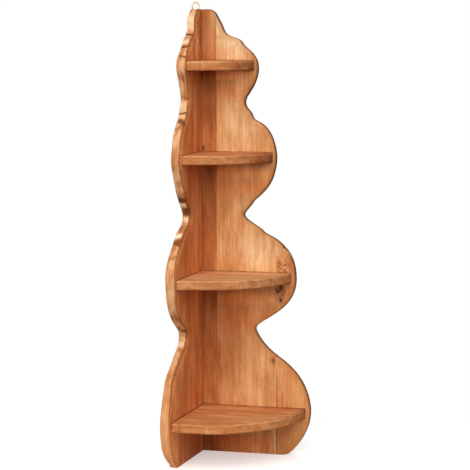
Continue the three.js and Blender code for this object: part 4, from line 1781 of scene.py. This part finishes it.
@dataclass
class Finishes:
    """The finish of each board. The places of marks are counted from the inner corner line and the floor.

    Fields:
        corner: The unit's corner.
        shelves: The shelves' names and nodes, from the floor up.
    """

    corner: Corner
    shelves: dict[str, tuple[str, ...]]

    # Tints that paint light and shade: PAINTED_LIGHT, PAINTED_WARM_LIGHT and PAINTED_RUDDY_LIGHT are painted
    # light in the shade under the shelves, REDDER is a redder painted shade there and at a shelf's right end,
    # and PAINTED_DEEP_SHADE is painted shade at a shelf's right end.
    PAINTED_LIGHT = (1.25, 1.3, 1.3)
    PAINTED_WARM_LIGHT = (1.45, 1.25, 1.1)
    REDDER = (1.05, 0.82, 0.72)
    PAINTED_DEEP_SHADE = (0.88, 0.66, 0.53)
    PAINTED_RUDDY_LIGHT = (1.3, 0.98, 0.84)
    FAR = 1.0

    def panel_seams(self, along: str) -> tuple[Seam, ...]:
        """The lines round the shelves and in the corner on a panel.

        Args:
            along: The axis that the panel runs along.
        """
        index = "XY".index(along)
        start = (self.corner.x, self.corner.y)[index]
        foot = max(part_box(node)[1].z for node in self.shelves["bottom_shelf"])
        found = [Seam(along, start, "Z", 0.0, foot, strength=0.2),
                 Seam(along, start, "Z", foot, self.corner.height, strength=0.4),
                 Seam("Z", self.corner.height, along, -self.FAR, self.FAR, 5 * MILLIMETRE, 0.9)]
        for nodes in self.shelves.values():
            boxes = [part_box(node) for node in nodes]
            low = min(box[0][index] for box in boxes)
            high = max(box[1][index] for box in boxes)
            for level in (boxes[0][0].z, boxes[0][1].z):
                found.append(Seam("Z", level, along, low, high))
        return tuple(found)

    def shelf_seams(self, by_left: float, by_right: float) -> tuple[Seam, ...]:
        """The lines along both panels on a shelf, each as strong as given."""
        width = 5.5 * MILLIMETRE
        return (Seam("X", self.corner.x, "Y", -self.FAR, self.FAR, width, by_left),
                Seam("Y", self.corner.y, "X", -self.FAR, self.FAR, width, by_right))

    def by_node(self) -> dict[str, WoodFinish]:
        """The finish of each board, by node."""
        return {**self.right_boards(), **self.left_boards(), **self.shelf_boards()}

    def right_boards(self) -> dict[str, WoodFinish]:
        """The finishes of the right panel's boards, by node."""
        x = self.corner.x
        # The right panel's free edge is darkened from a third of its thickness back, partly as stain and partly
        # as painted shade of the edge that turns away from the light.
        right = {"grain": Grain.RIGHT_PANEL, "seams": self.panel_seams("X"), "line_from": 0.34,
                 "rub_and_highlight": 0.12, "edge_tone": 1.15}
        return {
            "right_panel_inner_board": WoodFinish(
                "right_inner_wood", **BROWN, **right, contrast=1.45,
                knots=(Knot(x + 0.003, 0.966, 0.005, 1.8, 0.9),),
                # The wide dark streak beside the corner at the crest, and the two darker patches beside the
                # corner under the upper shelves, are painted shade in the corner.
                streaks=(Streak(x + 0.031, 0.99, 1.08, 0.004, 0.4),
                         Streak(x + 0.006, 1.24, 1.40, 0.020, 0.3)),
                patches=(Patch(x + 0.04, 1.10, 0.06, 0.11, -0.7), Patch(x + 0.03, 0.80, 0.06, 0.12, -0.5),
                         Patch(x + 0.055, 1.34, 0.035, 0.12, 0.9), Patch(x + 0.055, 1.41, 0.035, 0.07, 1.0),
                         Patch(x + 0.05, 1.41, 0.045, 0.09, 1.0))),
            "right_panel_middle_board": WoodFinish(
                "right_middle_wood", **HONEY, **right, shift=(0.4, 0.1, 0.3),
                knots=(Knot(x + 0.231, 0.299, 0.007, 1.5, 0.85),),
                streaks=(Streak(x + 0.138, 1.12, 1.22, 0.005, 0.22),
                         Streak(x + 0.152, 1.14, 1.21, 0.004, 0.3), Streak(x + 0.156, 1.0, 1.06, 0.004, 0.3),
                         Streak(x + 0.233, 0.12, 0.30, 0.003, 0.25),
                         Streak(x + 0.2375, -0.1, 0.12, 0.0035, -0.9)),
                # On this board the pale, dark and tinted patches are mostly painted light and shade round the
                # shelves: paler above each shelf, darker higher in the lowest bay and under the bottom shelf,
                # and warm, red and lighter tints in the shade just under each shelf. The two narrow dark
                # patches beside the glue joint are the joint's own tone.
                patches=(Patch(x + 0.19, 0.65, 0.12, 0.085, 1.0), Patch(x + 0.13, 1.04, 0.10, 0.14, 1.0),
                         Patch(x + 0.10, 1.34, 0.11, 0.15, 1.0), Patch(x + 0.12, 0.33, 0.11, 0.13, -0.5),
                         Patch(x + 0.16, 0.79, 0.07, 0.06, 0.35), Patch(x + 0.15, 0.19, 0.12, 0.05, 0.2),
                         Patch(x + 0.09, 0.42, 0.05, 0.22, -0.7), Patch(x + 0.09, 0.90, 0.06, 0.09, 0.5),
                         Patch(x + 0.10, 0.08, 0.12, 0.09, -0.6), Patch(x + 0.11, 1.34, 0.13, 0.13, 0.8),
                         Patch(x + 0.049, 0.25, 0.017, 0.33, -1.0), Patch(x + 0.049, 0.25, 0.014, 0.33, -0.6),
                         Patch(x + 0.12, 0.495, 0.16, 0.030, 1.0, self.PAINTED_WARM_LIGHT),
                         Patch(x + 0.10, 0.895, 0.14, 0.028, 1.0, self.PAINTED_WARM_LIGHT),
                         Patch(x + 0.07, 1.198, 0.11, 0.024, 1.0, self.PAINTED_WARM_LIGHT),
                         Patch(x + 0.13, 0.430, 0.15, 0.060, 1.0, self.REDDER),
                         Patch(x + 0.14, 0.845, 0.13, 0.050, 1.0, self.REDDER),
                         Patch(x + 0.08, 1.145, 0.12, 0.050, 0.8, self.REDDER),
                         Patch(x + 0.07, 0.850, 0.05, 0.090, 0.8, self.PAINTED_LIGHT),
                         Patch(x + 0.10, 0.030, 0.18, 0.040, 1.0, self.PAINTED_RUDDY_LIGHT))),
            "right_panel_outer_board_1": WoodFinish(
                "right_outer_1_wood", **AMBER, **right, shift=(0.9, 0.3, 1.7),
                crack=Crack(x + 0.261, 0.148, 0.208),
                streaks=(Streak(x + 0.2435, -0.1, 0.26, 0.0035, 0.6),
                         Streak(x + 0.252, -0.1, 0.13, 0.003, 0.25))),
            "right_panel_outer_board_2": WoodFinish(
                "right_outer_2_wood", **AMBER, **right, shift=(1.4, 0.2, 0.9), ring_depth=0.25,
                pith=(0.2, 0.03, 0.0), contrast=1.2,
                knots=(Knot(x + 0.256, 0.533, 0.0085, 1.3, 1.0), Knot(x + 0.249, 0.521, 0.007, 1.2, 0.95),
                       Knot(x + 0.261, 0.513, 0.004, 2.5, 0.8), Knot(x + 0.256, 0.492, 0.007, 1.3, 1.0),
                       Knot(x + 0.268, 0.599, 0.014, 1.0, 0.1, 1.0)),
                patches=(Patch(x + 0.25, 0.66, 0.06, 0.06, 0.7), Patch(x + 0.275, 0.60, 0.03, 0.03, 0.5))),
        }

    def left_boards(self) -> dict[str, WoodFinish]:
        """The finishes of the left panel's boards, by node."""
        y = self.corner.y
        # The left panel's near arris is painted dark, as shade where it turns away from the light.
        left = {"grain": Grain.LEFT_PANEL, "seams": self.panel_seams("Y"), "line_from": 0.9,
                "rub_and_highlight": 0.06, "edge_tone": 0.8, "worked": 0.55, "arris_shade": 0.95,
                "sawn": (0.93, 1.07, 1.14)}
        calm = {**left, "worked": 0.25, "sawn": (0.92, 1.02, 1.06)}
        return {
            "left_panel_inner_board": WoodFinish(
                "left_inner_wood", **UMBER, **left, shift=(0.2, 0.5, 2.3), contrast=1.4,
                # The wide dark streak beside the corner at the crest is painted shade in the corner.
                streaks=(Streak(y - 0.008, 1.28, 1.45, 0.022, 0.4),
                         Streak(y - 0.045, 1.285, 1.325, 0.009, -0.8),
                         Streak(y - 0.062, 1.250, 1.30, 0.009, -0.7)),
                patches=(Patch(y - 0.05, 1.29, 0.05, 0.05, 0.6),)),
            "left_panel_middle_board": WoodFinish(
                "left_middle_wood", **UMBER, **left, shift=(0.7, 0.8, 3.1), contrast=1.5,
                patches=(Patch(y - 0.15, 0.07, 0.2, 0.09, -0.4),)),
            "left_panel_outer_board_1": WoodFinish(
                "left_outer_1_wood", **UMBER, **calm, shift=(1.1, 0.4, 4.2)),
            "left_panel_outer_board_2": WoodFinish(
                "left_outer_2_wood", **UMBER, **left, shift=(1.9, 0.6, 5.0)),
        }

    def shelf_boards(self) -> dict[str, WoodFinish]:
        """The finishes of the shelves' boards, by node. Each board's figure is shifted by its own amount."""
        x, y = self.corner.x, self.corner.y
        # On the shelves the fronts are darkened, partly as stain and partly as painted shade of the front
        # against the lit top, and the top arris is made pale, partly as wear and partly as a painted highlight.
        shelf = {"grain": Grain.SHELF, "marks_to": 2.0, "line_from": 0.8, "rub_and_highlight": 0.7,
                 "edge_tone": 0.6, "contrast": 1.3, "worked": 0.12, "sawn": (0.86, 0.76, 0.68)}
        knots = {
            "bottom_shelf_front_board": (Knot(y - 0.335, x + 0.026, 0.006, 1.0, 0.45),),
            "bottom_shelf_rear_board": (Knot(y - 0.012, x + 0.334, 0.006, 1.0, 0.8),),
        }
        # The dark and reddish patches at the shelves' right ends are painted shade where the fronts turn away
        # from the light.
        patches = {
            "lower_shelf_rear_board": (Patch(y - 0.05, x + 0.13, 0.25, 0.2, 0.7),
                                       Patch(y - 0.03, x + 0.285, 0.2, 0.02, 0.8, self.REDDER)),
            "lower_shelf_front_board": (Patch(y - 0.15, x + 0.08, 0.25, 0.2, 0.6),),
            "upper_shelf_board": (Patch(y - 0.08, x + 0.23, 0.2, 0.09, -1.0),
                                  Patch(y - 0.08, x + 0.23, 0.2, 0.060, 1.0, self.PAINTED_DEEP_SHADE)),
            "top_shelf_board": (Patch(y - 0.08, x + 0.165, 0.2, 0.05, -0.9),),
            "bottom_shelf_rear_board": (Patch(y - 0.03, x + 0.335, 0.2, 0.02, -0.8),),
        }
        found = {}
        nodes = [node for names in self.shelves.values() for node in names]
        for index, node in enumerate(nodes):
            by_left, by_right = (0.9, 0.9) if node.startswith("bottom") else (0.25, 0.5)
            found[node] = WoodFinish(
                f"{node}_wood", **RUSSET, **shelf,
                knots=knots.get(node, ()),
                patches=patches.get(node, ()),
                seams=self.shelf_seams(by_left, by_right),
                shift=(0.31 * index, 0.17 * index, 0.83 * index),
            )
        return found


@dataclass
class Unit:
    """The whole corner shelf unit, which builds its sub-assemblies in order."""

    corner: Corner = field(default_factory=Corner.from_frame)

    def build(self) -> None:
        """Builds and dresses every piece."""
        groups = {"grain": grain_group(), "knot": knot_group(), "edge": edge_group(),
                  "patch": patch_group(), "crack": crack_group(), "seam": seam_group()}
        shelves = self.shelves()
        finishes = Finishes(self.corner, {shelf.name: tuple(shelf.nodes()) for shelf in shelves}).by_node()
        finishes = {node: finish.material(groups) for node, finish in finishes.items()}
        brass = MetalFinish("polished_brass", (0.85, 0.71, 0.42), (0.7, 0.54, 0.28), 0.22).material()
        zinc = MetalFinish("zinced_steel", (0.73, 0.71, 0.67), (0.6, 0.58, 0.54), 0.34).material()
        screws, plate = Screws(), LoopPlate()
        holes, flat = screws.holes(), plate.flat(self.corner)
        for panel in self.panels():
            panel.build(finishes, [holes, flat])
        for shelf in shelves:
            shelf.build(finishes, [holes])
        screws.build(brass, zinc)
        plate.build(brass, holes)
        discard(holes, flat)

    def panels(self) -> list[Panel]:
        """The right panel and the left one."""
        corner = self.corner
        right = Panel(
            name="right_panel",
            axes=Axes((corner.x, corner.y, 0), (1, 0, 0), (0, 1, 0), (0, 0, 1)),
            back=-corner.thickness,
            thickness=corner.thickness,
            boards=("inner_board", "middle_board", "outer_board_1", "outer_board_2"),
            arris=((0, 0.008), (0.6, 0.009), (1.2, 0.009), (1.34, 0.006), (1.4, 0.004)),
            back_arris=((0, 0.006), (1.4, 0.004)),
            seed=3,
            chips=(
                Chip(0.640, -0.0003, 0.010, -0.5, 0.010),
                Chip(0.657, 0.0012, 0.0030, 0.9, 0.003),
                Chip(1.125, 0.0005, 0.006, -0.4, 0.006),
            ),
        )
        left = Panel(
            name="left_panel",
            axes=Axes((corner.x, corner.y, 0), (0, -1, 0), (-1, 0, 0), (0, 0, 1)),
            back=0.0,
            thickness=corner.thickness,
            boards=("inner_board", "middle_board", "outer_board_1", "outer_board_2"),
            arris=((0, 0.003), (0.1, 0.004), (0.15, 0.005), (0.2, 0.009), (0.26, 0.013), (0.32, 0.015),
                   (0.376, 0.012), (0.42, 0.006), (0.5, 0.005), (0.58, 0.003), (0.65, 0.009), (0.69, 0.012),
                   (0.75, 0.014), (0.797, 0.012), (0.83, 0.008), (0.88, 0.009), (0.94, 0.010), (1.04, 0.010),
                   (1.1, 0.012), (1.15, 0.010), (1.22, 0.005), (1.25, 0.005), (1.27, 0.012), (1.31, 0.013),
                   (1.35, 0.011), (1.4, 0.012)),
            back_arris=((0, 0.026), (0.015, 0.020), (0.035, 0.010), (0.07, 0.0035), (0.33, 0.003),
                        (0.37, 0.005), (0.42, 0.003), (0.72, 0.003), (0.78, 0.005), (0.83, 0.003),
                        (1.4, 0.003)),
            seed=8,
            chips=(
                Chip(0.367, -0.0003, 0.008, -0.45, 0.009, slant=-0.006, near=0.8),
                Chip(0.350, 0.0003, 0.006, 0.35, 0.006, slant=0.012, far=0.3),
                Chip(0.392, 0.0002, 0.004, 0.6, 0.004, slant=0.006, far=0.3),
                Chip(0.410, 0.0008, 0.007, 0.8, 0.008, slant=0.010, far=0.3),
                Chip(0.428, -0.0004, 0.006, 0.15, 0.010, slant=-0.008),
                Chip(0.454, 0.0008, 0.010, 0.5, 0.014, slant=0.016, far=0.4),
                Chip(0.688, 0.0010, 0.009, 0.75, 0.011, slant=-0.010, far=0.5),
                Chip(0.682, 0.0002, 0.003, 0.6, 0.003, slant=0.014, far=0.8),
                Chip(0.706, -0.0007, 0.007, -0.9, 0.0065, slant=-0.006, far=0.7),
                Chip(0.727, 0.0002, 0.010, 0.30, 0.012, slant=0.005),
                Chip(0.750, -0.0006, 0.008, -0.8, 0.009, slant=0.004, far=0.4),
                Chip(0.774, 0.0012, 0.013, 0.85, 0.0135, slant=-0.003, far=0.7),
                Chip(0.774, 0.0004, 0.010, 0.5, 0.012, slant=-0.003, near=1.3, far=-0.3),
                Chip(0.7965, -0.0011, 0.006, -0.7, 0.0075, slant=0.001),
                Chip(0.812, 0.0008, 0.009, 0.85, 0.0085, slant=0.004, near=0.7, far=1.1),
                Chip(0.824, 0.0003, 0.008, 0.25, 0.010, slant=0.004),
                Chip(1.037, 0.0005, 0.005, 0.4, 0.006, slant=-0.008, near=0.4),
                Chip(1.054, 0.0014, 0.008, 0.9, 0.008, slant=0.014, far=0.5),
                Chip(1.070, -0.0004, 0.005, -0.35, 0.007, slant=-0.004),
                Chip(1.081, 0.0006, 0.0025, 0.9, 0.0028, slant=-0.006),
                Chip(1.103, -0.0006, 0.012, -0.42, 0.018, slant=-0.010, near=0.6, far=1.0),
                Chip(1.126, 0.0008, 0.005, 0.6, 0.005, slant=0.012, far=0.4),
                Chip(1.256, 0.0006, 0.0025, 0.8, 0.0028, slant=0.007, far=0.6),
                Chip(1.285, 0.0010, 0.003, 1.0, 0.0035, slant=-0.005, near=0.9),
                Chip(1.300, 0.0000, 0.006, -0.5, 0.007, slant=-0.006),
                Chip(1.313, 0.0000, 0.005, 0.3, 0.004, slant=0.004),
                Chip(1.321, 0.0009, 0.003, 1.0, 0.0032, slant=0.004, far=0.8),
                Chip(1.362, -0.0002, 0.030, -0.5, 0.028),
            ),
        )
        return [right, left]

    def shelves(self) -> list[Shelf]:
        """The four shelves, from the floor up."""
        marks = {
            "bottom_shelf": (Chip(0.111, -0.0005, 0.004, -0.16, 0.004), Chip(0.060, 0.0003, 0.01, 0.2, 0.01)),
            "top_shelf": (Chip(0.041, 0.0004, 0.003, 0.4, 0.0025, slant=-0.004),
                          Chip(0.050, -0.0002, 0.01, -0.12, 0.008)),
        }
        shelves = []
        for index, (name, boards) in enumerate((
            ("bottom_shelf", ("rear_board", "front_board")),
            ("lower_shelf", ("rear_board", "front_board")),
            ("upper_shelf", ("board",)),
            ("top_shelf", ("board",)),
        )):
            low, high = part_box(f"{name}_{boards[0]}")
            shelves.append(Shelf(
                name=name,
                axes=Axes((self.corner.x, self.corner.y, high.z), (0, -1, 0), (0, 0, -1), (1, 0, 0)),
                thickness=high.z - low.z,
                boards=boards,
                top_arris=((0, 0.003), (0.7, 0.003), (0.9, 0.004), (1, 0.003)),
                bottom_arris=0.0025,
                seed=20 + index,
                chips=marks.get(name, ()),
            ))
        return shelves


def main() -> None:
    """Builds the studio and the unit."""
    logging.basicConfig(level=logging.INFO, format="%(message)s")
    view = bpy.context.scene.view_settings
    view.view_transform = "Standard"
    unit = Unit()
    Studio(unit.corner).build()
    unit.build()


if __name__ == "__main__":
    main()
